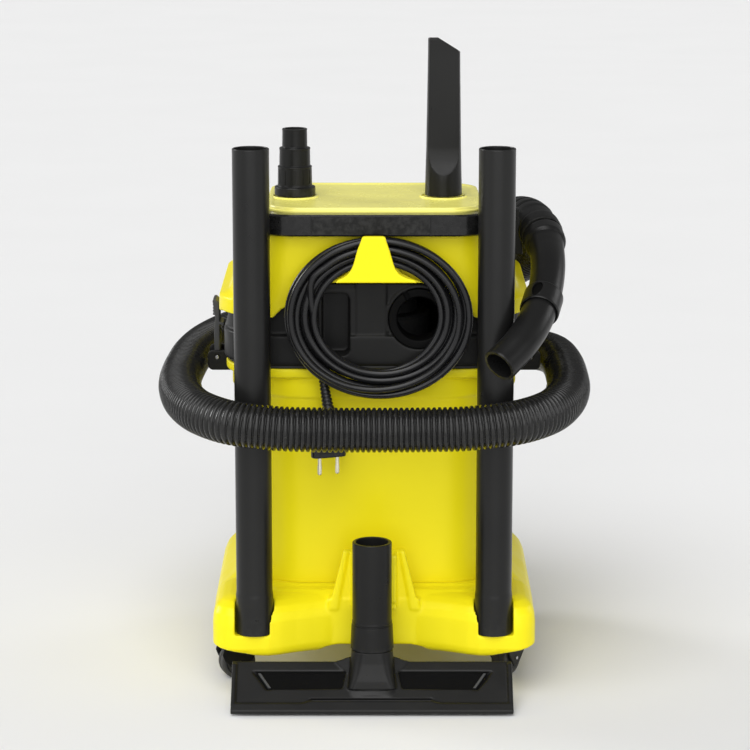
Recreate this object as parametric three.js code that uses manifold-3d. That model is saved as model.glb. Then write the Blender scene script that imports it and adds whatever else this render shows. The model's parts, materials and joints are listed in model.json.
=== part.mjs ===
// Wet and dry shop vacuum with its accessories parked on the back.
// Millimetres, +Z up. While the parts are placed, x = 0 and y = 0 is the middle of the
// container and z = 0 is the floor; the accessories are on the -Y side, which is the back.
// The last step moves the whole group so that its origin is the middle of its own box.
import * as THREE from 'three';
import { mergeVertices } from 'three/addons/utils/BufferGeometryUtils.js';
import ManifoldModule from 'manifold-3d';

const wasm = await ManifoldModule();
wasm.setup();

// ---------- driving dimensions ----------
const GAP = 0.3;              // between pieces that touch
const WALL = 2.6;             // moulded shells
const CASTER_WHEEL_R = 18.5;
const CASTER_TRAIL = 11;
const CASTER_X = 134;
const CASTER_REAR_Y = -116;
const CASTER_FRONT_Y = 108;
const CONTAINER_TOP_Z = 336;
const HEAD_BOTTOM_Z = 339.4;
const COVER_SHELF_Z = 475;    // the carry handle lies on this ledge
const DECK_TOP_Z = 503;
const TUBE_X = 122.5;
const TUBE_Y = -178;
const TUBE_BOTTOM_Z = 67.5;
const TUBE_LENGTH = 500;
const TUBE_R = 18.5;
const HOSE_R = 22.5;
const CORD_R = 3.5;
const NOZZLE_X = -2;
const NOZZLE_PIPE_Y = -206;
const NOZZLE_HALF_WIDTH = 143;
const LIP_FRONT_Y = -183.6;   // the bracket's two lips, which hold the nozzle's tongue
const LIP_BACK_Y = -179.2;
const LIP_TOP_Z = 150;
const SHELF_TOP_Z = 100;
const LATCH_PIVOT_X = 167;
const LATCH_PIVOT_Z = 323;
const HANDLE_PIVOT_Y = -5;
const HANDLE_PIVOT_Z = 487;
const KNOB_AT = [0, 106, 459.5];
const KNOB_TILT = -24.5;      // degrees about X
const INLET_Z = 288;
const CREVICE_X = 72;
const ADAPTER_X = -82;
const TOOL_Y = -57;
const GRIP_RING_AT = 0.69;    // place of the air ring along the curved handle

// ---------- looks ----------
const YELLOW = { color: 0xefe01d, roughness: 0.35, metalness: 0 };
const DECK_YELLOW = { color: 0xf1e85a, roughness: 0.3, metalness: 0 };
const BLACK = { color: 0x2b2b2a, roughness: 0.45, metalness: 0 };
const DARK_GREY = { color: 0x3a3b3a, roughness: 0.55, metalness: 0 };
const RUBBER = { color: 0x1c1c1c, roughness: 0.8, metalness: 0 };
const STEEL = { color: 0xb8babb, roughness: 0.3, metalness: 1 };
const PAPER = { color: 0xe9e4d4, roughness: 0.9, metalness: 0 };

const parts = new THREE.Group();

function add(name, geometry, look) {
  const mesh = new THREE.Mesh(geometry, new THREE.MeshStandardMaterial(look));
  mesh.name = name;
  parts.add(mesh);
  return mesh;
}

// ---------- joins and cuts ----------
function toSolid(geometry) {
  const bare = geometry.clone();
  bare.deleteAttribute('normal');
  bare.deleteAttribute('uv');
  const merged = mergeVertices(bare, 1e-3);
  const index = merged.index.array;
  const kept = [];
  for (let i = 0; i < index.length; i += 3) {
    const [a, b, c] = [index[i], index[i + 1], index[i + 2]];
    if (a !== b && b !== c && c !== a) kept.push(a, b, c);
  }
  return new wasm.Manifold(new wasm.Mesh({
    numProp: 3,
    vertProperties: new Float32Array(merged.attributes.position.array),
    triVerts: new Uint32Array(kept),
  }));
}

function toGeometry(solid) {
  const mesh = solid.getMesh();
  const geometry = new THREE.BufferGeometry();
  geometry.setAttribute('position', new THREE.BufferAttribute(mesh.vertProperties, 3));
  geometry.setIndex(new THREE.BufferAttribute(mesh.triVerts, 1));
  return geometry;
}

function join(...geometries) {
  return toGeometry(geometries.map(toSolid).reduce((all, one) => all.add(one)));
}

function cut(body, ...tools) {
  return toGeometry(tools.map(toSolid).reduce((left, tool) => left.subtract(tool), toSolid(body)));
}

// ---------- shapes ----------
function lathe(profile, segments = 18) {
  const points = profile.map(([r, z]) => new THREE.Vector2(r, z));
  return new THREE.LatheGeometry(points, segments).rotateX(Math.PI / 2);
}

// Ring with a square section: inner and outer radius between two heights.
function ring(inner, outer, z0, z1, segments = 18) {
  return lathe([[inner, z0], [outer, z0], [outer, z1], [inner, z1], [inner, z0]], segments);
}

function disc(radius, z0, z1, segments = 18) {
  return lathe([[0, z0], [radius, z0], [radius, z1], [0, z1]], segments);
}

function box(x0, x1, y0, y1, z0, z1) {
  const geometry = new THREE.BoxGeometry(x1 - x0, y1 - y0, z1 - z0);
  return geometry.translate((x0 + x1) / 2, (y0 + y1) / 2, (z0 + z1) / 2);
}

// The same box for the right side, or mirrored for the left: its X values are the right side's.
function sideBox(side, x0, x1, y0, y1, z0, z1) {
  return box(Math.min(side * x0, side * x1), Math.max(side * x0, side * x1), y0, y1, z0, z1);
}

// Outline given in X and Z, filled from y0 to y1.
function slabY(points, y0, y1) {
  const outline = new THREE.Shape(points.map(([x, z]) => new THREE.Vector2(x, z)));
  const options = { depth: y1 - y0, bevelEnabled: false };
  return new THREE.ExtrudeGeometry(outline, options).rotateX(Math.PI / 2).translate(0, y1, 0);
}

// The same with its X values given for the right side, and mirrored for the left.
function sidePlate(side, points, y0, y1) {
  return slabY(points.map(([x, z]) => [side * x, z]), y0, y1);
}

// Outline given in Y and Z, filled from x0 to x1.
function slabX(points, x0, x1) {
  const outline = new THREE.Shape(points.map(([y, z]) => new THREE.Vector2(y, z)));
  const geometry = new THREE.ExtrudeGeometry(outline, { depth: x1 - x0, bevelEnabled: false });
  const turn = new THREE.Matrix4().makeBasis(
    new THREE.Vector3(0, 1, 0), new THREE.Vector3(0, 0, 1), new THREE.Vector3(1, 0, 0));
  return geometry.applyMatrix4(turn).translate(x0, 0, 0);
}

// A level outline with round corners, as a ring of points. tilt raises it along +X.
function outline({ x, y, z, r, tilt = 0 }, perCorner = 4) {
  const corners = [
    [x[1] - r, y[0] + r, -90], [x[1] - r, y[1] - r, 0],
    [x[0] + r, y[1] - r, 90], [x[0] + r, y[0] + r, 180],
  ];
  const points = [];
  for (const [cx, cy, start] of corners) {
    for (let i = 0; i <= perCorner; i += 1) {
      const angle = THREE.MathUtils.degToRad(start + 90 * i / perCorner);
      const px = cx + r * Math.cos(angle);
      points.push(new THREE.Vector3(px, cy + r * Math.sin(angle), z + tilt * px));
    }
  }
  return points;
}

// Skin over a stack of outlines. An open stack is capped flat at its first and last
// outline; a closed stack joins the last back to the first, which leaves a way through.
function loft(levels, closed = false, perCorner = 4) {
  const rings = levels.map((level) => outline(level, perCorner));
  const count = rings[0].length;
  const vertices = rings.flat().flatMap((p) => [p.x, p.y, p.z]);
  const index = [];
  const last = closed ? rings.length : rings.length - 1;
  for (let i = 0; i < last; i += 1) {
    const low = i * count;
    const high = ((i + 1) % rings.length) * count;
    for (let k = 0; k < count; k += 1) {
      const next = (k + 1) % count;
      index.push(low + k, low + next, high + next, low + k, high + next, high + k);
    }
  }
  if (!closed) {
    const top = (rings.length - 1) * count;
    for (let k = 1; k < count - 1; k += 1) {
      index.push(0, k + 1, k, top, top + k, top + k + 1);
    }
  }
  const geometry = new THREE.BufferGeometry();
  geometry.setAttribute('position', new THREE.Float32BufferAttribute(vertices, 3));
  geometry.setIndex(index);
  return geometry;
}

const inset = (level, by) => ({
  ...level,
  x: [level.x[0] + by, level.x[1] - by],
  y: [level.y[0] + by, level.y[1] - by],
  r: Math.max(level.r - by, 1),
});

function curve(points) {
  const places = points.map((p) => new THREE.Vector3(...p));
  return new THREE.CatmullRomCurve3(places, false, 'centripetal');
}

// Round rod, or pipe where inner is more than zero, along a smooth curve.
function along(points, outer, inner = 0, steps = 24, sides = 16) {
  const section = new THREE.Shape();
  section.absarc(0, 0, outer, 0, 2 * Math.PI);
  if (inner > 0) {
    section.holes.push(new THREE.Path().absarc(0, 0, inner, 0, 2 * Math.PI, true));
  }
  return new THREE.ExtrudeGeometry(section, {
    steps, extrudePath: curve(points), curveSegments: sides, bevelEnabled: false,
  });
}

// Turns a shape made about the Z axis so that it points along +X, +Y or any direction.
const toX = (geometry) => geometry.rotateY(Math.PI / 2);
const toY = (geometry) => geometry.rotateX(-Math.PI / 2);
const aimed = (geometry, direction) => geometry.applyQuaternion(
  new THREE.Quaternion().setFromUnitVectors(
    new THREE.Vector3(0, 0, 1), direction.clone().normalize()));

// ---------- container and base ----------
const CONTAINER_LEVELS = [
  { x: [-132, 132], y: [-116, 126], z: 58, r: 62 },
  { x: [-136, 136], y: [-121, 131], z: 66, r: 66 },
  { x: [-139, 139], y: [-127, 137], z: 107, r: 72 },
  { x: [-147.5, 147.5], y: [-137, 146], z: 326, r: 84 },
];
const RIM = { x: [-153.5, 153.5], y: [-143, 152], z: 328, r: 62 };

function makeContainer() {
  const outer = [...CONTAINER_LEVELS, RIM, { ...RIM, z: CONTAINER_TOP_Z }];
  const inner = [
    { ...inset(CONTAINER_LEVELS[3], WALL), z: CONTAINER_TOP_Z },
    inset(CONTAINER_LEVELS[3], WALL),
    inset(CONTAINER_LEVELS[2], WALL),
    { ...inset(CONTAINER_LEVELS[1], WALL), z: 68 },
    { ...inset(CONTAINER_LEVELS[0], WALL), z: 61 },
  ];
  const inlet = toY(disc(27, 100, 170)).translate(0, 0, INLET_Z);
  add('container', cut(loft([...outer, ...inner]), inlet), YELLOW);

  const socket = lathe([
    [22.8, 124], [26.6, 124], [26.6, 147.6], [32, 147.6], [32, 151.2],
    [22.8, 151.2], [22.8, 124],
  ]);
  add('inlet_socket', toY(socket).translate(0, 0, INLET_Z), BLACK);
}

const BASE_LEVELS = [
  { x: [-160, 160], y: [-150, 152], z: 41, r: 62 },
  { x: [-170, 170], y: [-160, 162], z: 50, r: 70 },
  { x: [-167, 167], y: [-157, 159], z: 80, r: 66 },
  { x: [-158, 158], y: [-146, 154], z: 94, r: 60 },
  { x: [-145, 145], y: [-134, 143], z: 106, r: 60 },
];

function makeBase() {
  const rearBlock = loft([
    { x: [-112, 112], y: [-166, -100], z: 41, r: 8 },
    { x: [-112, 112], y: [-168, -100], z: 50, r: 8 },
    { x: [-108, 108], y: [-164, -100], z: 92, r: 10 },
    { x: [-104, 104], y: [-150, -100], z: 103, r: 12 },
  ]);
  const blocks = [-1, 1].map((side) => loft([
    { x: [133 - 26, 133 + 26], y: [-188, -90], z: 41, r: 16 },
    { x: [131 - 30, 131 + 35], y: [-193, -90], z: 52, r: 20 },
    { x: [131 - 30, 131 + 35], y: [-192, -90], z: 84, r: 20 },
    { x: [131 - 29, 131 + 33], y: [-189, -90], z: 93, r: 20 },
    { x: [131 - 26, 131 + 22], y: [-176, -90], z: 101.4, r: 20 },
  ]).translate(side > 0 ? 0 : -2 * 131, 0, 0));
  const flank = [
    { x: [62, 124], y: [-188, -120], z: 45, r: 18 },
    { x: [58, 126], y: [-193, -120], z: 53, r: 22 },
    { x: [59, 125], y: [-191, -120], z: 88, r: 22 },
    { x: [66, 120], y: [-174, -120], z: 100.6, r: 18 },
  ];
  const flanks = [loft(flank), loft(flank.map((level) => ({
    ...level, x: [-level.x[1], -level.x[0]],
  })))];
  const bracket = slabY([[-47, 60], [47, 60], [45, 90], [29, 150], [-29, 150], [-45, 90]], -166, -158);
  const lips = [-1, 1].map((side) => join(
    box(side * 19 - 4, side * 19 + 4, LIP_FRONT_Y, -164, SHELF_TOP_Z, LIP_TOP_Z),
    box(side * 15.5 - 7.5, side * 15.5 + 7.5, LIP_FRONT_Y, LIP_BACK_Y, SHELF_TOP_Z, LIP_TOP_Z)));
  const shelf = box(-23, 23, LIP_BACK_Y - 2, -160, SHELF_TOP_Z - 8, SHELF_TOP_Z);
  const bracketRoot = box(-47, 47, -167, -135, 60, 99);
  let body = join(
    loft(BASE_LEVELS), rearBlock, ...blocks, ...flanks, bracket, bracketRoot, shelf, ...lips);

  const pocket = loft(CONTAINER_LEVELS.map((level) => inset(level, -0.5))).translate(0, 0, -GAP);
  const hollowOuter = loft([
    { ...inset(BASE_LEVELS[0], 3), z: 30 },
    ...BASE_LEVELS.slice(0, 4).map((level) => ({ ...inset(level, 3), z: level.z - 3 })),
  ]);
  const pocketWall = loft([
    { ...inset(CONTAINER_LEVELS[0], -3.5), z: 54 },
    ...CONTAINER_LEVELS.slice(1).map((level) => inset(level, -3.5)),
  ]);
  const hollow = cut(hollowOuter, pocketWall);
  const rearHollow = box(-98, 98, -163, -134, 30, 88);
  const arch = slabY([[-60, 30], [60, 30], [60, 44], [40, 50], [-40, 50], [-60, 44]], -200, -140);
  const tubeWays = [-1, 1].map((side) => join(
    disc(TUBE_R + 1.4, TUBE_BOTTOM_Z, 130).translate(side * TUBE_X, TUBE_Y, 0),
    sideBox(side, TUBE_X - 11, TUBE_X + 19.9, -215, TUBE_Y, TUBE_BOTTOM_Z, 130)));
  const casterPosts = casterPlaces().map(([, x, y]) => disc(9, 41, 93, 16).translate(x, y, 0));
  const casterBores = casterPlaces().map(([, x, y]) => disc(4.4, 30, 58, 16).translate(x, y, 0));
  body = cut(body, hollow, rearHollow, arch, ...tubeWays);
  const pegShape = [[0, 60], [13.5, 60], [13.5, 105], [10.5, 118], [0, 118]];
  const pegs = [-1, 1].map((side) => lathe(pegShape, 20).translate(side * TUBE_X, TUBE_Y, 0));
  body = cut(join(body, ...pegs, ...casterPosts), pocket, ...casterBores);
  add('base_chassis', body, YELLOW);
}

// ---------- casters ----------
function casterPlaces() {
  return [
    ['rear_left', -CASTER_X, CASTER_REAR_Y, 200],
    ['rear_right', CASTER_X, CASTER_REAR_Y, 60],
    ['front_left', -CASTER_X, CASTER_FRONT_Y, 20],
    ['front_right', CASTER_X, CASTER_FRONT_Y, 160],
  ];
}

// A swivelling hood with a stem on its own axis; the wheel trails behind it along +X
// before the hood is turned about its stem by its rest heading.
function makeCasters() {
  for (const [place, x, y, heading] of casterPlaces()) {
    const turn = THREE.MathUtils.degToRad(heading);
    const set = (geometry) => geometry.rotateZ(turn).translate(x, y, 0);
    const z = CASTER_WHEEL_R;
    const cheek = [
      [-6, 40.2], [-8, 30], [CASTER_TRAIL - 7, z - 6], [CASTER_TRAIL + 7, z - 6], [30, 24], [26, 40.2],
    ];
    const hood = join(
      disc(10, 36.5, 40.2, 12),
      disc(4, 38, 57, 10),
      box(-6, 16, -12.5, 12.5, 33.5, 40.2),
      slabY(cheek, 10, 12.8),
      slabY(cheek, -12.8, -10));
    const bores = toY(disc(2.4, -20, 20, 8)).translate(CASTER_TRAIL, 0, z);
    const well = toY(disc(z + 1.6, -9.9, 9.9, 16)).translate(CASTER_TRAIL, 0, z);
    add(`caster_housing_${place}`, set(cut(hood, bores, well)), BLACK);
    const wheel = lathe([
      [2.7, -9], [z - 4, -9], [z, -6], [z, 6], [z - 4, 9], [2.7, 9], [2.7, -9],
    ], 16);
    add(`caster_wheel_${place}`, set(toY(wheel).translate(CASTER_TRAIL, 0, z)), DARK_GREY);
    const axle = toY(disc(2, -13.4, 13.4, 8)).translate(CASTER_TRAIL, 0, z);
    add(`caster_axle_${place}`, set(axle), STEEL);
  }
}

// ---------- head ----------
const HOUSING_LOW = { x: [-155.5, 155.5], y: [-142.5, 151.5], z: HEAD_BOTTOM_Z, r: 58 };
const COVER_LEVELS = [
  { x: [-157.5, 157.5], y: [-139, 153], z: 372, r: 58 },
  { x: [-163.4, 163.4], y: [-141, 156], z: 384, r: 60 },
  { x: [-164.6, 164.6], y: [-142, 157], z: 391, r: 62 },
  { x: [-164.6, 164.6], y: [-142.5, 157], z: 411, r: 62 },
  { x: [-153, 153], y: [-143.5, 150], z: 419, r: 58 },
  { x: [-139, 139], y: [-144.5, 138], z: 440, r: 52 },
  { x: [-125.5, 125.5], y: [-146, 72], z: COVER_SHELF_Z, r: 44 },
];
const DECK_WALL = { x: [-108, 108], y: [-137, 31], z: COVER_SHELF_Z, r: 34 };
const CATCH = { x0: 154, x1: 161, z0: 353, z1: 356.6, halfWidth: 12 };

function makeHeadHousing() {
  const flush = { ...HOUSING_LOW, z: 370 };
  const tucked = { ...inset(COVER_LEVELS[0], 3.4), z: 371.5 };
  const top = { ...inset(COVER_LEVELS[4], 8), y: [-138.6, 138], z: 424, r: 54 };
  const shell = loft([
    HOUSING_LOW, flush, tucked, top,
    inset(top, 3), { ...inset(tucked, 3), z: 371.5 }, { ...inset(HOUSING_LOW, 3.4), z: 346 },
  ]);
  const portBoss = toY(disc(34, -139.6, -112, 28)).translate(46, 0, 388);
  const nicheBoss = box(-58, -20, -139.4, -112, 345.5, 419);
  const niche = box(-53, -25, -150, -116, 350, 414);
  const portHole = toY(disc(31.3, -160, -100, 28)).translate(46, 0, 388);
  const suctionHole = disc(18, 330, 360);
  const catches = [-1, 1].map((side) => sideBox(
    side, CATCH.x0, CATCH.x1, -CATCH.halfWidth, CATCH.halfWidth, CATCH.z0, CATCH.z1));
  const body = join(shell, portBoss, nicheBoss, ...catches);
  add('head_housing', cut(body, niche, portHole, suctionHole), BLACK);

  const port = lathe([
    [22.5, -141], [31, -141], [31, -108], [25.5, -108], [25.5, -112], [22.5, -112], [22.5, -141],
  ], 28);
  add('blower_port', toY(port).translate(46, 0, 388), BLACK);
  const seal = { ...inset(RIM, 2), z: CONTAINER_TOP_Z + GAP };
  const sealTop = { ...seal, z: HEAD_BOTTOM_Z - GAP };
  add('container_seal', loft([seal, sealTop, inset(sealTop, 6), inset(seal, 6)], true), RUBBER);
}

function makeCover() {
  const outer = loft([...COVER_LEVELS, DECK_WALL, { ...DECK_WALL, z: 496.7 }]);
  const inner = loft([
    { ...inset(COVER_LEVELS[0], WALL), z: 360 },
    ...COVER_LEVELS.slice(0, 6).map((level) => inset(level, WALL)),
    { ...inset(COVER_LEVELS[6], WALL), z: COVER_SHELF_Z - WALL },
    { ...inset(DECK_WALL, WALL), z: COVER_SHELF_Z - WALL },
    { ...inset(DECK_WALL, WALL), z: 510 },
  ]);
  const arch = slabY([
    [-112, 360], [112, 360], [106, 386], [88, 402], [66, 418], [46, 427], [-46, 427],
    [-66, 418], [-88, 402], [-106, 386],
  ], -170, -100);
  const rise = slabX([[-180, 350], [20, 350], [10, 371.6], [-100, 389], [-180, 389]], -180, 180);
  const pinBores = toX(disc(3.4, -140, 140, 12)).translate(0, HANDLE_PIVOT_Y, HANDLE_PIVOT_Z);
  const knobBore = disc(4.4, -40, 40, 16)
    .rotateX(THREE.MathUtils.degToRad(KNOB_TILT)).translate(...KNOB_AT);
  add('head_cover', cut(outer, inner, arch, rise, pinBores, knobBore), YELLOW);
}

function makeDeck() {
  const edge = { x: [-110, 110], y: [-146, 34], z: 497, r: 36 };
  const plate = loft([edge, { ...edge, z: 501.5 }, { ...inset(edge, 1.5), z: DECK_TOP_Z }]);
  const grooves = [CREVICE_X, ADAPTER_X].map((x) => ring(14, 22.5, 501, 510, 16).translate(x, TOOL_Y, 0));
  const crevicePeg = disc(13, 500, 528, 14).translate(CREVICE_X, TOOL_Y, 0);
  const adapterPeg = disc(8, 500, 520, 14).translate(ADAPTER_X, TOOL_Y, 0);
  add('storage_deck', join(cut(plate, ...grooves), crevicePeg, adapterPeg), DECK_YELLOW);
}

// ---------- latches and hose hooks ----------
function makeLatches() {
  for (const [place, side] of [['left', -1], ['right', 1]]) {
    const pivot = side * LATCH_PIVOT_X;
    const pinBore = toY(disc(2.4, -30, 30, 12)).translate(pivot, 0, LATCH_PIVOT_Z);
    const foot = sidePlate(side, [
      [148, 309], [172, 309], [177, 314], [177, 326], [172, 330], [154.6, 330],
      [154.6, 325.4], [148, 325.4],
    ], -20, 20);
    const slot = sideBox(side, 159.5, 190, -15, 15, 312, 340);
    add(`latch_bracket_${place}`, cut(foot, slot, pinBore), BLACK);

    const plate = sidePlate(side, [
      [164.4, 319], [170, 319], [170, 380], [168, 384.5], [165, 384.5], [164.4, 382],
      [164.4, 360], [159.6, 359], [159.6, 357], [164.4, 357],
    ], -14, 14);
    const eye = toY(disc(4.6, -14, 14, 16)).translate(pivot, 0, LATCH_PIVOT_Z);
    add(`latch_${place}`, cut(join(plate, eye), pinBore), DARK_GREY);
    add(`latch_pin_${place}`, toY(disc(2, -21, 21, 12)).translate(pivot, 0, LATCH_PIVOT_Z), STEEL);

    add(`hose_hook_${place}`, sidePlate(side, [
      [145, 222], [151, 222], [186, 238], [208, 256], [226.5, 278], [226.5, 291], [223, 291],
      [220, 288.5], [214, 284], [204, 281.4], [190, 282.4], [186, 262], [152, 246], [152, 264],
      [146.4, 264],
    ], 40, 58), BLACK);
  }
}

// ---------- carry handle and switch ----------
function makeCarryHandle() {
  const [bottom, top] = [476.5, 498.5];
  const profile = (half, back, corner) => {
    const path = new THREE.Shape();
    path.moveTo(half, HANDLE_PIVOT_Y);
    path.lineTo(half, back + corner);
    path.absarc(half - corner, back + corner, corner, 0, -Math.PI / 2, true);
    path.lineTo(-half + corner, back);
    path.absarc(-half + corner, back + corner, corner, -Math.PI / 2, -Math.PI, true);
    path.lineTo(-half, HANDLE_PIVOT_Y);
    return path;
  };
  const fill = (shape, z0, z1) => new THREE.ExtrudeGeometry(shape, {
    depth: z1 - z0, bevelEnabled: false, curveSegments: 8,
  }).translate(0, 0, z0);
  const hand = cut(
    fill(profile(123.5, -164, 40), bottom, top),
    fill(profile(111.8, -148.2, 34), bottom - 5, top + 5).translate(0, 0.01, 0));
  const eyes = [-1, 1].map((side) => toX(disc(11, -5.85, 5.85, 20))
    .translate(side * 117.65, HANDLE_PIVOT_Y, HANDLE_PIVOT_Z));
  const bores = toX(disc(3.4, -140, 140, 12)).translate(0, HANDLE_PIVOT_Y, HANDLE_PIVOT_Z);
  add('carry_handle', cut(join(hand, ...eyes), bores), BLACK);
  for (const [place, side] of [['left', -1], ['right', 1]]) {
    const pin = toX(lathe([[0, 100], [3, 100], [3, 124], [6, 124], [6, 126], [0, 126]], 12));
    pin.rotateZ(side > 0 ? 0 : Math.PI).translate(0, HANDLE_PIVOT_Y, HANDLE_PIVOT_Z);
    add(`handle_pin_${place}`, pin, DARK_GREY);
  }

  const knob = join(
    lathe([[0, -12], [4, -12], [4, 1.2], [23, 1.2], [21, 9], [0, 9]], 24),
    box(-4.5, 4.5, -21, 21, 8, 16));
  add('power_knob', knob.rotateX(THREE.MathUtils.degToRad(KNOB_TILT)).translate(...KNOB_AT), BLACK);
}

// ---------- motor, fan and filter ----------
function makeInside() {
  add('fan_housing', lathe([
    [57.5, 346.3], [60, 346.3], [60, 372], [9, 372], [9, 369.5], [57.5, 369.5], [57.5, 346.3],
  ], 24), DARK_GREY);
  add('impeller', lathe([
    [3.9, 349], [50, 349], [50, 351], [12, 351], [12, 364], [50, 364], [50, 366], [3.9, 366],
    [3.9, 349],
  ]), STEEL);
  add('motor', lathe([
    [0, 347], [3.3, 347], [3.3, 372.4], [46, 372.4], [46, 436], [36, 446], [0, 446],
  ]), DARK_GREY);
  const slots = [0, 60, 120].map((angle) => (
    box(-7, 7, -30, 30, 262, 325).rotateZ(THREE.MathUtils.degToRad(angle))));
  const cage = lathe([
    [0, 247], [27, 247], [27, 336.4], [34, 336.4], [34, 339.1], [24.5, 339.1], [24.5, 250],
    [0, 250],
  ]);
  add('filter_cage', cut(cage, ...slots), BLACK);
  const ball = new THREE.SphereGeometry(22, 12, 9).rotateX(Math.PI / 2);
  add('float_ball', ball.translate(0, 0, 272.6), BLACK);
  add('cartridge_filter', ring(29, 62, 248, 336.1, 24), PAPER);
  add('filter_lock', join(disc(34, 238, 246.6), box(-24, 24, -4, 4, 226, 240)), BLACK);
}

// ---------- mains cord ----------
const COIL = { x: 4.9, z: 394, outer: 95, inner: 57.3, squash: 0.863, y0: -179.5, y1: -151.8 };
const SLEEVE_TOP = [-52, -149.2, 328];
const PLUG_AT = [-46.5, -158.5, 298.5];
const PLUG_TURN = 20;         // degrees about Z

function makeCord() {
  const tab = [
    [-19, 434.5], [22, 434.5], [19.3, 449.3], [15.6, 463.9], [11.3, 479.9], [8, 481.5],
    [-9, 481.5], [-12.1, 479.9], [-16.7, 463.9], [-20.7, 449.3],
  ];
  const flare = [
    [-46, 427.2], [51, 427.2], [38, 432], [27, 438], [22, 446], [-22, 446], [-27, 438],
    [-36, 432],
  ];
  add('cable_hook', join(
    slabY(tab, -193, -186),
    box(-16, 18, -190, -146.2, 434.5, 438.4),
    slabY(flare, -151, -146.2)), YELLOW);
  const flange = toY(disc(8, -144, -138.2, 16)).translate(-70, 0, 396);
  const boot = lathe([[0, 352], [3.9, 352], [4.6, 404], [0, 404]], 12).translate(-70, -147, 0);
  add('cable_gland', join(flange, boot), RUBBER);

  const deep = COIL.y1 - COIL.y0;
  const chamfer = 8;
  const section = [
    [COIL.inner, COIL.y0 + chamfer], [COIL.inner + chamfer, COIL.y0], [COIL.outer - chamfer, COIL.y0],
    [COIL.outer, COIL.y0 + chamfer], [COIL.outer, COIL.y0 + deep - chamfer],
    [COIL.outer - chamfer, COIL.y1], [COIL.inner + chamfer, COIL.y1],
    [COIL.inner, COIL.y1 - chamfer], [COIL.inner, COIL.y0 + chamfer],
  ];
  const coil = toY(lathe(section, 36)).scale(1, 1, COIL.squash);
  add('cord_coil', coil.translate(COIL.x, 0, COIL.z), RUBBER);
  const [tailX, tailY, tailZ] = SLEEVE_TOP;
  add('cord_tail', along(
    [[tailX, tailY, tailZ + 1.2], [-52.6, -148.2, 338], [-53, -147.9, 347]],
    CORD_R, 0, 3, 3), RUBBER);

  const body = loft([
    { x: [-18.5, 18.5], y: [-7, 7], z: 248.5, r: 6.8 },
    { x: [-18.5, 18.5], y: [-7, 7], z: 263.5, r: 6.8 },
    { x: [-15, 15], y: [-7.5, 7.5], z: 276.5, r: 7.2 },
    { x: [-6.6, 6.6], y: [-6.6, 6.6], z: 299.5, r: 6.5 },
  ], false, 3).rotateZ(THREE.MathUtils.degToRad(PLUG_TURN)).translate(PLUG_AT[0], PLUG_AT[1], 0);
  const lean = new THREE.Vector3(...SLEEVE_TOP).sub(new THREE.Vector3(...PLUG_AT));
  const sleeve = aimed(lathe([[0, -2], [6, -2], [4.3, lean.length()], [0, lean.length()]], 12), lean);
  sleeve.translate(...PLUG_AT);
  add('plug_body', join(body, sleeve), RUBBER);
  for (const [place, side] of [['left', -1], ['right', 1]]) {
    const pin = disc(2.4, 229.5, 248.2, 10).translate(side * 9.5, 0, 0);
    pin.rotateZ(THREE.MathUtils.degToRad(PLUG_TURN)).translate(PLUG_AT[0], PLUG_AT[1], 0);
    add(`plug_pin_${place}`, pin, STEEL);
  }
}

// ---------- suction hose and its curved handle ----------
const HOSE_ROUTE = [
  [40.6, 197.2, 289.2], [72, 196, 289.6], [112, 189, 291], [152, 168, 295], [183, 130, 300],
  [198, 84, 304], [204, 30, 305], [205, -30, 304], [203, -85, 302], [193, -140, 301],
  [174, -187, 300], [142, -217, 297.5], [95, -227, 294], [45, -227, 292.5], [-5, -226, 292],
  [-55, -227, 292.5], [-97, -227, 294], [-142, -218, 297.5], [-173, -187, 300],
  [-192, -140, 301], [-202, -85, 302], [-205, -40, 303], [-203, 15, 306], [-197, 70, 309],
  [-183, 122, 312], [-156, 165, 317], [-112, 198, 324], [-58, 214, 332], [-5, 218, 337],
];
// The last stretch rises with the head, so its solid is a piece of its own.
const HOSE_RISE = [
  [-1.2, 218, 337.5], [45, 217, 344], [92, 207, 357], [133, 185, 376], [170, 153, 399],
  [181, 117, 423], [171, 88, 443.5], [160, 68, 457.5], [157, 53.5, 463.6],
];
const GRIP_ROUTE = [
  [157, 47, 465.6], [158.5, 36, 468.5], [165, 8, 471], [173, -28, 467], [178, -62, 456.5],
  [179, -95, 443], [176.5, -126, 427], [170, -157, 409], [159.5, -188, 392], [144.5, -213, 376],
  [123.5, -234, 359],
];

function makeHose() {
  const elbow = along([
    [0, 127, INLET_Z], [0, 150, INLET_Z], [1, 172, INLET_Z], [8, 188, 288.2], [22, 196, 288.6],
    [38.2, 197, 289],
  ], 22, 18, 9, 5);
  const collar = toY(ring(21, 27, 152, 157)).translate(0, 0, INLET_Z);
  add('hose_connector', join(elbow, collar), BLACK);
  add('suction_hose', along(HOSE_ROUTE, HOSE_R, HOSE_R - 3, 34, 5), RUBBER);
  add('suction_hose_rise', along(HOSE_RISE, HOSE_R, HOSE_R - 3, 12, 5), RUBBER);
}

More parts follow.
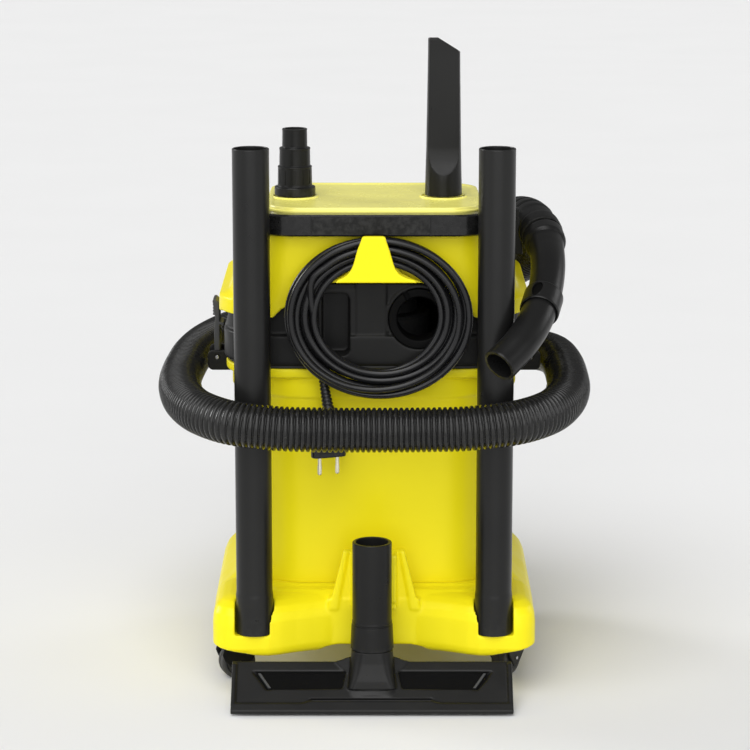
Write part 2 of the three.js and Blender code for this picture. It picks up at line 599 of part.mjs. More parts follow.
function makeGrip() {
  const route = curve(GRIP_ROUTE);
  const part = (from, to, count) => Array.from({ length: count }, (_, i) => (
    route.getPointAt(from + (to - from) * i / (count - 1)).toArray()));
  add('hose_cuff', along(part(0.012, 0.3, 7), 22, 19.2, 6, 5), BLACK);
  add('curved_handle', join(
    along(part(0.26, 1, 12), 17.6, 14.6, 15, 5),
    along(part(0.31, 0.36, 3), 21.5, 15.6, 2, 5)), BLACK);

  const sleeve = aimed(ring(18.3, 19.8, -13, 13), route.getTangentAt(GRIP_RING_AT));
  add('air_ring', sleeve.translate(...route.getPointAt(GRIP_RING_AT)), DARK_GREY);

  const claw = sidePlate(1, [
    [142.5, 437], [127.4, 474.6], [127.4, 482], [144, 486], [152, 486], [156, 437],
  ], -40, -26);
  add('handle_clip', cut(claw, along(part(0.05, 0.6, 12), 23, 0, 10, 6)), BLACK);
}

// ---------- parked accessories ----------
function makeAccessories() {
  for (const [place, side] of [['left', -1], ['right', 1]]) {
    const tube = lathe([
      [TUBE_R - 1.9, 0], [TUBE_R + 0.7, 0], [TUBE_R + 0.7, 40], [TUBE_R, 46],
      [TUBE_R, TUBE_LENGTH], [TUBE_R - 1.9, TUBE_LENGTH], [TUBE_R - 1.9, 0],
    ]);
    add(`suction_tube_${place}`, tube.translate(side * TUBE_X, TUBE_Y, TUBE_BOTTOM_Z + GAP), BLACK);
  }

  const crevice = [
    { half: 19.3, deep: 19.3, z: 0, r: 19.2 }, { half: 18.6, deep: 18.6, z: 26, r: 18.5 },
    { half: 18, deep: 9, z: 52, r: 8.6 }, { half: 16.5, deep: 7.4, z: 154.3, r: 5 },
  ];
  const level = ({ half, deep, z, r }, thin, tilt = 0) => ({
    x: [-half + thin, half - thin], y: [-deep + thin, deep - thin], z: DECK_TOP_Z + GAP + z,
    r: Math.max(r - thin, 1), tilt,
  });
  const [base, sleeve, middle, tip] = crevice;
  add('crevice_nozzle', loft([
    level(base, 0), level(sleeve, 0), level(middle, 0), level(tip, 0, -0.5),
    level(tip, 1.8, -0.5), level(middle, 1.8), level(sleeve, 1.8), level(base, 1.8),
  ], true).translate(CREVICE_X, TOOL_Y, 0), BLACK);

  const foot = DECK_TOP_Z + GAP;
  add('tool_adapter', lathe([
    [10, 0], [21.2, 0], [21.2, 9], [18, 11], [17.6, 29], [16.2, 31], [15.8, 48.5], [13.1, 50.5],
    [12.8, 69], [10, 69], [10, 0],
  ]).translate(ADAPTER_X, TOOL_Y, foot), BLACK);

  // Floor nozzle: a pipe with a tongue that hangs in the bracket, and a wide slanted head.
  const pipe = join(
    lathe([[16.5, 60], [22, 60], [21, 84], [20, 87], [20, 171.5], [16.5, 171.5], [16.5, 60]], 24)
      .translate(NOZZLE_X, NOZZLE_PIPE_Y, 0),
    box(-7, 7, -190, LIP_BACK_Y, 104, 148),
    box(-14.2, 14.2, LIP_BACK_Y + GAP, -170, 104, 148),
    box(-7, 7, LIP_BACK_Y - 1, LIP_BACK_Y + 2, 104, 148));
  const pipeBore = disc(16.5, 50, 180, 24).translate(NOZZLE_X, NOZZLE_PIPE_Y, 0);
  add('nozzle_pipe', cut(pipe, pipeBore), BLACK);
  const head = slabX([
    [-199.6, 43], [-198.2, 41.4], [-198.2, 30.2], [-221, 4], [-222, 3], [-244, 3], [-247.5, 6],
  ], NOZZLE_X - NOZZLE_HALF_WIDTH, NOZZLE_X + NOZZLE_HALF_WIDTH);
  const neck = loft([
    { x: [-24.5, 24.5], y: [-232, -208], z: 24, r: 6 },
    { x: [-22.4, 22.4], y: [-228, -196], z: 42, r: 12 },
    { x: [-21, 21], y: [-225.5, -193.5], z: 59.7, r: 14 },
  ]).translate(NOZZLE_X, 0, 0);
  const throat = disc(14, 20, 70, 20).translate(NOZZLE_X, NOZZLE_PIPE_Y - 4, 0);
  const channel = slabX([face(-8, 4), face(8, 4), face(8, -8), face(-8, -8)],
    NOZZLE_X - 132, NOZZLE_X + 132);
  add('nozzle_head', cut(join(head, neck), throat, channel), BLACK);

  const [x0, x1] = [NOZZLE_X - 138, NOZZLE_X + 138];
  const strip = (from, to, high, a, b) => (
    slabX([face(from, GAP), face(to, GAP), face(to, high), face(from, high)], a, b));
  add('nozzle_insert', join(
    strip(-12.5, -9.5, 5.3, x0, x1), strip(9.5, 12.5, 5.3, x0, x1),
    strip(-12.5, 12.5, 2.3, x0, x0 + 5), strip(-12.5, 12.5, 2.3, x1 - 5, x1)), RUBBER);
}

// Working face of the floor nozzle: a point along it and out from it, in Y and Z.
function face(alongFace, outward) {
  return [-209.3 + 0.656 * alongFace + 0.754 * outward, 17.5 + 0.754 * alongFace - 0.656 * outward];
}

// ---------- build ----------
makeContainer();
makeBase();
makeCasters();
makeHeadHousing();
makeCover();
makeDeck();
makeLatches();
makeCarryHandle();
makeInside();
makeCord();
makeHose();
makeGrip();
makeAccessories();

// The origin is the middle of the object's box, on the floor. The free cord and the hose
// don't count in that box.
const FREE_CORDS = [
  'suction_hose', 'suction_hose_rise', 'cord_coil', 'cord_tail', 'plug_body', 'plug_pin_left',
  'plug_pin_right',
];
const extent = new THREE.Box3();
for (const mesh of parts.children) {
  if (!FREE_CORDS.includes(mesh.name)) extent.expandByObject(mesh, true);
}
const middle = extent.getCenter(new THREE.Vector3());
parts.position.set(-middle.x, -middle.y, -extent.min.z);

export default parts;
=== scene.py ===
import json
import math

import bmesh
import bpy
import numpy as np
from mathutils import Matrix, Vector


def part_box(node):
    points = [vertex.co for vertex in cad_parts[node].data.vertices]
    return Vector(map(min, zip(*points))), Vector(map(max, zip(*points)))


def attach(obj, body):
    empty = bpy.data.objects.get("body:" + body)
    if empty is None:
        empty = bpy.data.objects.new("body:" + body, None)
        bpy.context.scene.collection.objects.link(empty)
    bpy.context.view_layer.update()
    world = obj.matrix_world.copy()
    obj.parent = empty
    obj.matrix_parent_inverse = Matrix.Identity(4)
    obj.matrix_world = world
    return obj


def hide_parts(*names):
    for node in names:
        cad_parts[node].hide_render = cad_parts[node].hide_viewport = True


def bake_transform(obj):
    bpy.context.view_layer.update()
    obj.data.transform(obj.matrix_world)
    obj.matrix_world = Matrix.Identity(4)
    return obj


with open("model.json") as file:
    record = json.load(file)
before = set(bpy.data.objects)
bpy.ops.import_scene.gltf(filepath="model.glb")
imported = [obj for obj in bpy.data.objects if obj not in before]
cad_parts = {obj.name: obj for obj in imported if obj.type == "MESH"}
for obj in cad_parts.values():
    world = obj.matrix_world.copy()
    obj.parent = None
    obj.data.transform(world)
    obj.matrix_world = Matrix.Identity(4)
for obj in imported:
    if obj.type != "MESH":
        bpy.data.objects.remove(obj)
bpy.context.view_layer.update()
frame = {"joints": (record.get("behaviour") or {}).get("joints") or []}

# Shapes are worked out in millimetres in the design's own frame: x = 0 and y = 0 is the middle
# of the container, z = 0 the floor, -Y the back where the accessories are parked, and +X is on
# the right as seen from behind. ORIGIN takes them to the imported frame, in metres.
MM = 0.001
GAP = 0.3                     # left between parts that are lifted off each other
WALL = 2.6
SIDES = (("left", -1), ("right", 1))
TUBE_X, TUBE_Y, TUBE_BOTTOM_Z, TUBE_LENGTH, TUBE_R = 122.5, -178.0, 67.5, 500.0, 18.5


def find_origin():
    low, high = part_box("suction_tube_left")
    middle = (low + high) / 2
    bottom = low.z - (TUBE_BOTTOM_Z + GAP) * MM
    return Vector((middle.x + TUBE_X * MM, middle.y - TUBE_Y * MM, bottom))


ORIGIN = find_origin()


def place(point):
    return ORIGIN + Vector([float(c) for c in point]) * MM


def joint_place(name):
    """A joint's point in the design's frame, and its axis."""
    joint = next(j for j in frame["joints"] if j["name"] == name)
    return np.array((Vector(joint["pos_m"]) - ORIGIN) / MM), np.array(joint["axis"])


# ---------- camera ----------
CAMERA_AT = (1, -2937.6, 934.4)
CAMERA_TARGET = (1, 0, 299.3)
CAMERA_LENS = 134.4


def make_camera():
    data = bpy.data.cameras.new("camera")
    data.lens = CAMERA_LENS
    data.sensor_width = 36
    data.clip_start, data.clip_end = 0.1, 50
    camera = bpy.data.objects.new("camera", data)
    bpy.context.scene.collection.objects.link(camera)
    camera.location = place(CAMERA_AT)
    toward = place(CAMERA_TARGET) - place(CAMERA_AT)
    camera.rotation_euler = toward.to_track_quat("-Z", "Y").to_euler()
    bpy.context.scene.camera = camera


# ---------- lines and outlines ----------
def smooth_line(points, step):
    """Centripetal Catmull-Rom curve through the points, resampled at an even step."""
    knots = [np.array(p, float) for p in points]
    knots = [2 * knots[0] - knots[1], *knots, 2 * knots[-1] - knots[-2]]
    dense = []
    for a, b, c, d in zip(knots, knots[1:], knots[2:], knots[3:]):
        t1 = np.linalg.norm(b - a) ** 0.5
        t2 = t1 + np.linalg.norm(c - b) ** 0.5
        t3 = t2 + np.linalg.norm(d - c) ** 0.5
        for t in np.linspace(t1, t2, 40, endpoint=False):
            ab = (t1 - t) / t1 * a + t / t1 * b
            bc = (t2 - t) / (t2 - t1) * b + (t - t1) / (t2 - t1) * c
            cd = (t3 - t) / (t3 - t2) * c + (t - t2) / (t3 - t2) * d
            left = (t2 - t) / t2 * ab + t / t2 * bc
            right = (t3 - t) / (t3 - t1) * bc + (t - t1) / (t3 - t1) * cd
            dense.append((t2 - t) / (t2 - t1) * left + (t - t1) / (t2 - t1) * right)
    dense.append(knots[-2])
    return even(np.array(dense), step)


def even(line, step):
    lengths = np.concatenate([[0], np.cumsum(np.linalg.norm(np.diff(line, axis=0), axis=1))])
    count = max(2, int(round(lengths[-1] / step)) + 1)
    at = np.linspace(0, lengths[-1], count)
    return np.column_stack([np.interp(at, lengths, line[:, k]) for k in range(3)])


def line_length(line):
    return float(np.linalg.norm(np.diff(line, axis=0), axis=1).sum())


def frames_along(line):
    """Tangents, and two directions across them that turn as little as possible."""
    tangents = np.gradient(line, axis=0)
    tangents /= np.linalg.norm(tangents, axis=1)[:, None]
    across = np.cross(tangents[0], (0, 0, 1))
    if np.linalg.norm(across) < 0.1:
        across = np.cross(tangents[0], (0, 1, 0))
    sides = []
    for tangent in tangents:
        across = across - tangent * (across @ tangent)
        across = across / np.linalg.norm(across)
        sides.append(across)
    sides = np.array(sides)
    return tangents, sides, np.cross(tangents, sides)


def rounded(x0, x1, y0, y1, r, z, corner=10, side=1):
    """Level outline with round corners, as a ring of points; each straight has side steps."""
    centres = [(x1 - r, y0 + r, -90), (x1 - r, y1 - r, 0), (x0 + r, y1 - r, 90),
               (x0 + r, y0 + r, 180)]
    points = []
    for k, (cx, cy, start) in enumerate(centres):
        for i in range(corner + 1):
            angle = math.radians(start + 90 * i / corner)
            points.append((cx + r * math.cos(angle), cy + r * math.sin(angle), z))
        nx, ny, turn = centres[(k + 1) % 4]
        angle = math.radians(turn)
        end = np.array((nx + r * math.cos(angle), ny + r * math.sin(angle), z))
        begin = np.array(points[-1])
        for i in range(1, side):
            points.append(tuple(begin + (end - begin) * i / side))
    return np.array(points, float)


def level(x, y, z, r):
    """A level of a stack: ranges or half widths in x and y, height and corner radius."""
    span = lambda width: width if isinstance(width, tuple) else (-width, width)
    return {"x": span(x), "y": span(y), "z": z, "r": r}


def inset(one, by, z=None):
    return {
        "x": (one["x"][0] + by, one["x"][1] - by),
        "y": (one["y"][0] + by, one["y"][1] - by),
        "z": one["z"] if z is None else z,
        "r": max(one["r"] - by, 1),
    }


def between(a, b, t):
    mix = lambda p, q: p + (q - p) * t
    return {
        "x": tuple(map(mix, a["x"], b["x"])),
        "y": tuple(map(mix, a["y"], b["y"])),
        "z": mix(a["z"], b["z"]),
        "r": mix(a["r"], b["r"]),
    }


def ring_of(one, corner=12, side=1):
    return rounded(*one["x"], *one["y"], one["r"], one["z"], corner, side)


# ---------- closed shapes: (points, faces) ----------
def loft(rings, closed=False):
    """Skin over rings with the same number of points, capped at both ends unless closed."""
    n = len(rings[0])
    faces = []
    for i in range(len(rings) if closed else len(rings) - 1):
        low, high = i * n, (i + 1) % len(rings) * n
        for k in range(n):
            m = (k + 1) % n
            faces.append((low + k, low + m, high + m, high + k))
    if not closed:
        faces.append(tuple(range(n - 1, -1, -1)))
        faces.append(tuple(range((len(rings) - 1) * n, len(rings) * n)))
    return np.concatenate(rings), faces


def stack(levels, corner=12, side=1, closed=False):
    return loft([ring_of(one, corner, side) for one in levels], closed)


def lathe(profile, segments=64, closed=False):
    """Turned about Z. The profile runs from the axis to the axis, or round a closed section."""
    angles = np.linspace(0, 2 * math.pi, segments, endpoint=False)
    rings = [np.column_stack([r * np.cos(angles), r * np.sin(angles), np.full(segments, z)])
             for r, z in profile]
    return loft(rings, closed)


def there_and_back(profile):
    """A profile and its mirror image over height 0."""
    return profile + [(r, -z) for r, z in reversed(profile)]


def tube_section(inner, outer, z0, z1, ease=0.8):
    """Profile of a ring with eased edges."""
    e = ease
    return [(inner + e, z0), (outer - e, z0), (outer - 0.3 * e, z0 + 0.3 * e), (outer, z0 + e),
            (outer, z1 - e), (outer - 0.3 * e, z1 - 0.3 * e), (outer - e, z1), (inner + e, z1),
            (inner + 0.3 * e, z1 - 0.3 * e), (inner, z1 - e), (inner, z0 + e),
            (inner + 0.3 * e, z0 + 0.3 * e)]


def ring(inner, outer, z0, z1, segments=64, ease=0.8):
    return lathe(tube_section(inner, outer, z0, z1, ease), segments, closed=True)


def disc(radius, z0, z1, segments=48, ease=0.0):
    if ease:
        profile = [(0, z0), (radius - ease, z0), (radius - 0.3 * ease, z0 + 0.3 * ease),
                   (radius, z0 + ease), (radius, z1 - ease), (radius - 0.3 * ease, z1 - 0.3 * ease),
                   (radius - ease, z1), (0, z1)]
    else:
        profile = [(0, z0), (radius, z0), (radius, z1), (0, z1)]
    return lathe(profile, segments)


def block(x0, x1, y0, y1, z0, z1):
    ring_at = lambda z: np.array([(x0, y0, z), (x1, y0, z), (x1, y1, z), (x0, y1, z)], float)
    return loft([ring_at(z0), ring_at(z1)])


def slab(points, start, end, axis):
    """Outline in the other two directions, filled from start to end along X or Y."""
    flat = np.array(points, float)
    rings = []
    for at in (start, end):
        columns = [flat[:, 0], flat[:, 1]]
        columns.insert(0 if axis == "X" else 1, np.full(len(flat), at))
        rings.append(np.column_stack(columns))
    return loft(rings)


def arc(cx, cy, r, start, end, steps=8):
    return [(cx + r * math.cos(math.radians(start + (end - start) * i / steps)),
             cy + r * math.sin(math.radians(start + (end - start) * i / steps)))
            for i in range(steps + 1)]


def sweep(line, radius, sides=32, closed_inside=None):
    """Round rod along a line; radius is a number or one for each point. closed_inside gives the
    radius of a bore, which makes a pipe."""
    _, sideways, upward = frames_along(line)
    radii = np.broadcast_to(np.asarray(radius, float), (len(line),))
    angles = np.linspace(0, 2 * math.pi, sides, endpoint=False)

    def ring_at(i, r):
        return line[i] + r * (np.outer(np.cos(angles), sideways[i])
                              + np.outer(np.sin(angles), upward[i]))

    outer = [ring_at(i, radii[i]) for i in range(len(line))]
    if closed_inside is None:
        return loft(outer)
    bores = np.broadcast_to(np.asarray(closed_inside, float), (len(line),))
    inner = [ring_at(i, bores[i]) for i in range(len(line) - 1, -1, -1)]
    return loft(outer + inner, closed=True)


def moved(shape, x=0.0, y=0.0, z=0.0):
    return shape[0] + np.array((x, y, z), float), shape[1]


def turned(shape, axis, degrees):
    return shape[0] @ np.array(Matrix.Rotation(math.radians(degrees), 3, axis)).T, shape[1]


def aimed(shape, direction):
    """Takes a shape made about Z to that direction."""
    matrix = np.array(Vector((0, 0, 1)).rotation_difference(Vector(direction)).to_matrix())
    return shape[0] @ matrix.T, shape[1]


def to_x(shape):
    return turned(shape, "Y", 90)


def to_y(shape):
    return turned(shape, "X", -90)


def mirrored(shape):
    return shape[0] * np.array((-1, 1, 1)), [tuple(reversed(face)) for face in shape[1]]


def sided(shape, side):
    """A shape made for the right side, or its mirror image on the left."""
    return shape if side > 0 else mirrored(shape)


def pair(shape):
    """A shape made for the right side, after its mirror image on the left."""
    return [mirrored(shape), shape]


# ---------- pieces ----------
def make_mesh(name, shape):
    points, faces = shape
    mesh = bpy.data.meshes.new(name)
    world = points * MM + np.array(ORIGIN)
    mesh.from_pydata(world.tolist(), [], faces)
    bm = bmesh.new()
    bm.from_mesh(mesh)
    bmesh.ops.remove_doubles(bm, verts=bm.verts, dist=2e-6)
    bmesh.ops.dissolve_degenerate(bm, edges=bm.edges, dist=1e-6)
    bmesh.ops.recalc_face_normals(bm, faces=bm.faces)
    bm.to_mesh(mesh)
    bm.free()
    return mesh


def make_object(name, shape):
    obj = bpy.data.objects.new(name, make_mesh(name, shape))
    bpy.context.scene.collection.objects.link(obj)
    return obj


def bake_modifiers(obj):
    """The evaluated mesh takes the place of the object's mesh and modifiers."""
    graph = bpy.context.evaluated_depsgraph_get()
    done = bpy.data.meshes.new_from_object(obj.evaluated_get(graph))
    obj.modifiers.clear()
    old = obj.data
    obj.data = done
    bpy.data.meshes.remove(old)


def combine(obj, shapes, operation):
    """Joins or cuts with each shape in turn. A shape may be an object, which is used up."""
    for shape in shapes:
        tool = shape if isinstance(shape, bpy.types.Object) else make_object("tool", shape)
        modifier = obj.modifiers.new("combine", "BOOLEAN")
        modifier.operation = operation
        modifier.solver = "MANIFOLD"
        modifier.object = tool
        bake_modifiers(obj)
        mesh = tool.data
        bpy.data.objects.remove(tool)
        bpy.data.meshes.remove(mesh)


def soften(obj, voxel, rounds, keep):
    """Even skin with moulded radii: remesh, smooth, then thin out the flat stretches."""
    remesh = obj.modifiers.new("remesh", "REMESH")
    remesh.mode = "VOXEL"
    remesh.voxel_size = voxel * MM
    remesh.use_smooth_shade = True
    smooth = obj.modifiers.new("smooth", "SMOOTH")
    smooth.factor = 0.5
    smooth.iterations = rounds
    if keep < 1:
        thin = obj.modifiers.new("thin", "DECIMATE")
        thin.ratio = keep
    bake_modifiers(obj)


def finish_surface(obj, smooth_angle, bevel):
    if bevel:
        modifier = obj.modifiers.new("edges", "BEVEL")
        modifier.width = bevel * MM
        modifier.segments = 3
        modifier.limit_method = "ANGLE"
        modifier.angle_limit = math.radians(32)
        modifier.use_clamp_overlap = False
        bake_modifiers(obj)
    obj.data.shade_smooth()
    if smooth_angle < 180:
        obj.data.set_sharp_from_angle(angle=math.radians(smooth_angle))
    weigh = obj.modifiers.new("normals", "WEIGHTED_NORMAL")
    weigh.keep_sharp = True
    bake_modifiers(obj)


def piece(name, body, look, shapes, cuts=(), replaces=None, voxel=0, rounds=6, keep=0.4, bevel=0,
          smooth_angle=38):
    """A piece of closed shapes joined into one, less the cuts, riding on a body. With a voxel
    size, in millimetres, it gets moulded radii; otherwise bevel gives the edges' width."""
    first, *rest = shapes
    obj = make_object(name, first)
    combine(obj, rest, "UNION")
    combine(obj, cuts, "DIFFERENCE")
    if voxel:
        soften(obj, voxel, rounds, keep)
    return dress(obj, body, look, replaces, bevel, 180 if voxel else smooth_angle)


def dress(obj, body, look, replaces=None, bevel=0, smooth_angle=180):
    """Surface, material, body and names for a mesh that is already whole. It replaces the CAD
    node with its own name, without the closing _v, unless it is told which."""
    finish_surface(obj, smooth_angle, bevel)
    obj.data.materials.clear()
    obj.data.materials.append(LOOKS[look]["material"])
    if body:
        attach(obj, body)
    if replaces is None:
        replaces = [obj.name.removesuffix("_v")]
    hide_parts(*replaces)
    return obj


# ---------- looks ----------
LOOKS = {}


def node(tree, kind, inputs=None, **settings):
    made = tree.nodes.new(kind)
    for key, value in settings.items():
        setattr(made, key, value)
    for key, value in (inputs or {}).items():
        feed(tree, made.inputs[key], value)
    return made


def feed(tree, socket, value):
    """Links an input to another node's output, or sets it."""
    if isinstance(value, bpy.types.NodeSocket):
        tree.links.new(value, socket)
    else:
        socket.default_value = value


def noise(tree, where, scale, detail=3.0, roughness=0.5):
    return node(tree, "ShaderNodeTexNoise", {
        "Vector": where, "Scale": scale, "Detail": detail, "Roughness": roughness}).outputs["Fac"]


def spread(tree, value, low, high, start=0.3, end=0.7):
    """Takes the middle of a noise to a range."""
    return node(tree, "ShaderNodeMapRange", {
        "Value": value, "From Min": start, "From Max": end, "To Min": low, "To Max": high,
    }).outputs["Result"]


def mixed(tree, share, a, b):
    made = node(tree, "ShaderNodeMix", {"Factor": share}, data_type="RGBA")
    for socket, value in zip([s for s in made.inputs if s.type == "RGBA"], (a, b)):
        feed(tree, socket, (*value, 1) if isinstance(value, tuple) else value)
    return [s for s in made.outputs if s.type == "RGBA"][0]


def blank_material(name):
    material = bpy.data.materials.new(name)
    material.use_nodes = True
    tree = material.node_tree
    shader = tree.nodes["Principled BSDF"]
    where = node(tree, "ShaderNodeTexCoord").outputs["Object"]
    return material, tree, shader, where


def plastic(name, slot, color, shade, rough, grain, depth, edge_wear_and_highlight=None, specular=0.5,
            streaks=False):
    """Moulded plastic: colour drifts between color and shade, roughness within rough, a fine
    spark-eroded grain, and a lighter edge tint that is partly wear, partly painted highlight."""
    material, tree, shader, where = blank_material(name)
    tint = mixed(tree, spread(tree, noise(tree, where, 9.0, 4.0), 0.0, 1.0), color, shade)
    # Lighter colour on sharp convex edges, found by pointiness and broken up by noise: partly wear,
    # partly a painted edge highlight.
    if edge_wear_and_highlight:
        bend = node(tree, "ShaderNodeNewGeometry").outputs["Pointiness"]
        edge = spread(tree, bend, 0.0, 0.55, 0.53, 0.62)
        patchy = spread(tree, noise(tree, where, 140.0, 5.0, 0.65), 0.0, 1.0, 0.42, 0.6)
        share = node(tree, "ShaderNodeMath", {0: edge, 1: patchy}, operation="MULTIPLY").outputs[0]
        tint = mixed(tree, share, tint, edge_wear_and_highlight)
    tree.links.new(tint, shader.inputs["Base Color"])
    smudges = noise(tree, where, 38.0, 5.0, 0.6)
    tree.links.new(spread(tree, smudges, *rough), shader.inputs["Roughness"])
    shader.inputs["Specular IOR Level"].default_value = specular
    if streaks:
        where = node(tree, "ShaderNodeMapping", {"Vector": where, "Scale": (1, 1, 0.04)}).outputs[0]
    bumps = noise(tree, where, grain, 2.0)
    bump = node(tree, "ShaderNodeBump", {"Height": bumps, "Strength": depth, "Distance": 0.0002})
    tree.links.new(bump.outputs["Normal"], shader.inputs["Normal"])
    LOOKS[name] = {"material": material, "slot": slot}


def metal(name, slot, color, rough):
    """Drawn metal with fine lines round it."""
    material, tree, shader, where = blank_material(name)
    shader.inputs["Metallic"].default_value = 1.0
    lines = node(tree, "ShaderNodeMapping", {"Vector": where, "Scale": (900, 900, 60)}).outputs[0]
    streak = noise(tree, lines, 2.0, 3.0)
    dark = tuple(c * 0.8 for c in color)
    tree.links.new(mixed(tree, streak, dark, color), shader.inputs["Base Color"])
    tree.links.new(spread(tree, streak, *rough), shader.inputs["Roughness"])
    LOOKS[name] = {"material": material, "slot": slot}


def paper(name, slot, color, shade):
    """Filter paper: fibres and a little dust in the folds."""
    material, tree, shader, where = blank_material(name)
    fibres = noise(tree, where, 1400.0, 6.0, 0.7)
    clouds = noise(tree, where, 30.0, 4.0)
    tint = mixed(tree, spread(tree, clouds, 0.0, 1.0), color, shade)
    tree.links.new(mixed(tree, spread(tree, fibres, 0.0, 0.25), tint, shade),
                   shader.inputs["Base Color"])
    shader.inputs["Roughness"].default_value = 0.95
    bump = node(tree, "ShaderNodeBump", {"Height": fibres, "Strength": 0.3, "Distance": 0.0003})
    tree.links.new(bump.outputs["Normal"], shader.inputs["Normal"])
    LOOKS[name] = {"material": material, "slot": slot}


def make_looks():
    # The edge colours are lighter tints for the sharp edges: partly wear, partly a painted edge
    # highlight.
    plastic("yellow", "body_yellow", (0.88, 0.765, 0.009), (0.86, 0.745, 0.009), (0.30, 0.42),
            grain=2200, depth=0.10, edge_wear_and_highlight=(0.90, 0.84, 0.20), specular=0.18)
    # The deck's own paler yellow, made paler still as painted light on its upward face.
    plastic("deck", "deck_yellow", (0.99, 0.93, 0.23), (0.98, 0.91, 0.20), (0.20, 0.30),
            grain=2200, depth=0.06, edge_wear_and_highlight=(0.92, 0.87, 0.30))
    plastic("black", "black_plastic", (0.008, 0.008, 0.008), (0.011, 0.011, 0.0105), (0.36, 0.50),
            grain=1700, depth=0.22, edge_wear_and_highlight=(0.05, 0.05, 0.048), specular=0.16)
    plastic("satin", "tool_black", (0.008, 0.008, 0.008), (0.011, 0.011, 0.0105), (0.27, 0.38),
            grain=2400, depth=0.10, edge_wear_and_highlight=(0.06, 0.06, 0.058), specular=0.20)
    plastic("gloss", "black_plastic", (0.006, 0.006, 0.006), (0.008, 0.008, 0.008), (0.14, 0.22),
            grain=2400, depth=0.04, edge_wear_and_highlight=(0.03, 0.03, 0.03), specular=0.35)
    # This look is darker and duller than the black plastic: painted shade for holes and gaps that
    # lie in shadow.
    plastic("painted_shade_black", "black_plastic", (0.003, 0.003, 0.003), (0.004, 0.004, 0.004), (0.5, 0.6),
            grain=2400, depth=0.05, edge_wear_and_highlight=(0.004, 0.004, 0.004), specular=0.05)
    plastic("tube", "tool_black", (0.007, 0.007, 0.007), (0.010, 0.010, 0.0095), (0.27, 0.36),
            grain=1500, depth=0.08, edge_wear_and_highlight=(0.05, 0.05, 0.048), specular=0.30, streaks=True)
    plastic("grey", "dark_grey_plastic", (0.035, 0.036, 0.037), (0.045, 0.046, 0.047), (0.38, 0.5),
            grain=1800, depth=0.18, edge_wear_and_highlight=(0.09, 0.09, 0.088))
    plastic("hose", "hose_plastic", (0.008, 0.008, 0.008), (0.012, 0.012, 0.0115), (0.20, 0.30),
            grain=1500, depth=0.10, edge_wear_and_highlight=(0.045, 0.045, 0.043), specular=0.35)
    plastic("sheath", "cord_black", (0.008, 0.008, 0.0085), (0.011, 0.011, 0.012), (0.20, 0.30),
            grain=1300, depth=0.06, specular=0.35)
    plastic("rubber", "seal_rubber", (0.016, 0.016, 0.016), (0.024, 0.024, 0.024), (0.62, 0.8),
            grain=900, depth=0.3)
    plastic("wheel", "wheel_plastic", (0.022, 0.022, 0.022), (0.034, 0.033, 0.031), (0.5, 0.7),
            grain=1100, depth=0.3, edge_wear_and_highlight=(0.10, 0.095, 0.09))
    metal("steel", "steel", (0.62, 0.62, 0.63), (0.22, 0.34))
    metal("contact", "brass_pin", (0.86, 0.82, 0.64), (0.16, 0.28))
    paper("paper", "filter_paper", (0.80, 0.76, 0.66), (0.66, 0.61, 0.50))


# ---------- stage ----------
FLOOR_RANGE = (-30000, 30000)
SUNS = {                      # name: where it shines from, strength, and width in degrees
    "key": ((-0.25, -0.75, 1.25), 1.65, 45),
    "front": ((0.05, -1.0, 0.27), 1.75, 60),
    "fill_left": ((-1.0, -0.55, 0.35), 0.35, 30),
    "fill_right": ((1.0, -0.55, 0.35), 0.25, 30),
    "rim_left": ((-0.9, 0.45, 0.35), 1.20, 22),
    "rim_right": ((0.9, 0.45, 0.35), 0.35, 25),
}


def sun_light(name, source, strength, angle):
    """Soft even light from a direction, so that the floor is as bright everywhere."""
    data = bpy.data.lights.new(name, "SUN")
    data.energy = strength
    data.angle = math.radians(angle)
    light = bpy.data.objects.new(name, data)
    bpy.context.scene.collection.objects.link(light)
    light.rotation_euler = (-Vector(source)).to_track_quat("-Z", "Y").to_euler()


def make_stage():
    floor = make_object("floor", block(*FLOOR_RANGE, *FLOOR_RANGE, -20, 0))
    floor.data.materials.append(floor_material())
    world = bpy.data.worlds.new("studio")
    bpy.context.scene.world = world
    world.use_nodes = True
    back = world.node_tree.nodes["Background"]
    back.inputs["Color"].default_value = (1, 1, 1, 1)
    back.inputs["Strength"].default_value = 0.25
    for name, settings in SUNS.items():
        sun_light(name, *settings)
    bpy.context.scene.view_settings.view_transform = "Standard"


def floor_material():
    material, tree, shader, where = blank_material("floor")
    grain = noise(tree, where, 3.0, 3.0)
    tree.links.new(mixed(tree, grain, (0.80, 0.80, 0.80), (0.83, 0.83, 0.83)),
                   shader.inputs["Base Color"])
    shader.inputs["Roughness"].default_value = 0.9
    shader.inputs["Specular IOR Level"].default_value = 0.2
    return material


# ---------- mains cord ----------
CORD_R = 3.5
COIL_MIDDLE = np.array((4.9, 395.0))
COIL_SQUASH = 0.863
COIL_RADII = (63.0, 94.5)
COIL_ROOM_Y = (-175.8, -155.4)
COIL_HOLE_R = 60.5
COIL_SAG = 8                  # how much more the lowest turns hang down
COIL_TOP_Z = 472.6            # turns in front of HANDLE_BACK_Y stay under the carry handle
HANDLE_BACK_Y = -170.0
SETTLE_ROUNDS = 140
COIL_PITCH = 8.8              # between neighbouring turns in one layer
COIL_LAYERS = (-174.6, -168.2, -161.8, -156.0)
COIL_START = 212.0            # degrees round the coil, from +X towards +Z
COIL_TURNS = 8.9
POINTS_PER_TURN = 72
CORD_LEAD = [(-70, -147, 352), (-69.3, -147.6, 345)]
CORD_TAIL = [(-53, -147.9, 347), (-52.6, -148.2, 338), (-52, -149.2, 329.2)]
SLEEVE_TOP = (-52, -149.2, 328)
PLUG_AT = (-46.5, -158.5, 298.5)
PLUG_TURN = 20


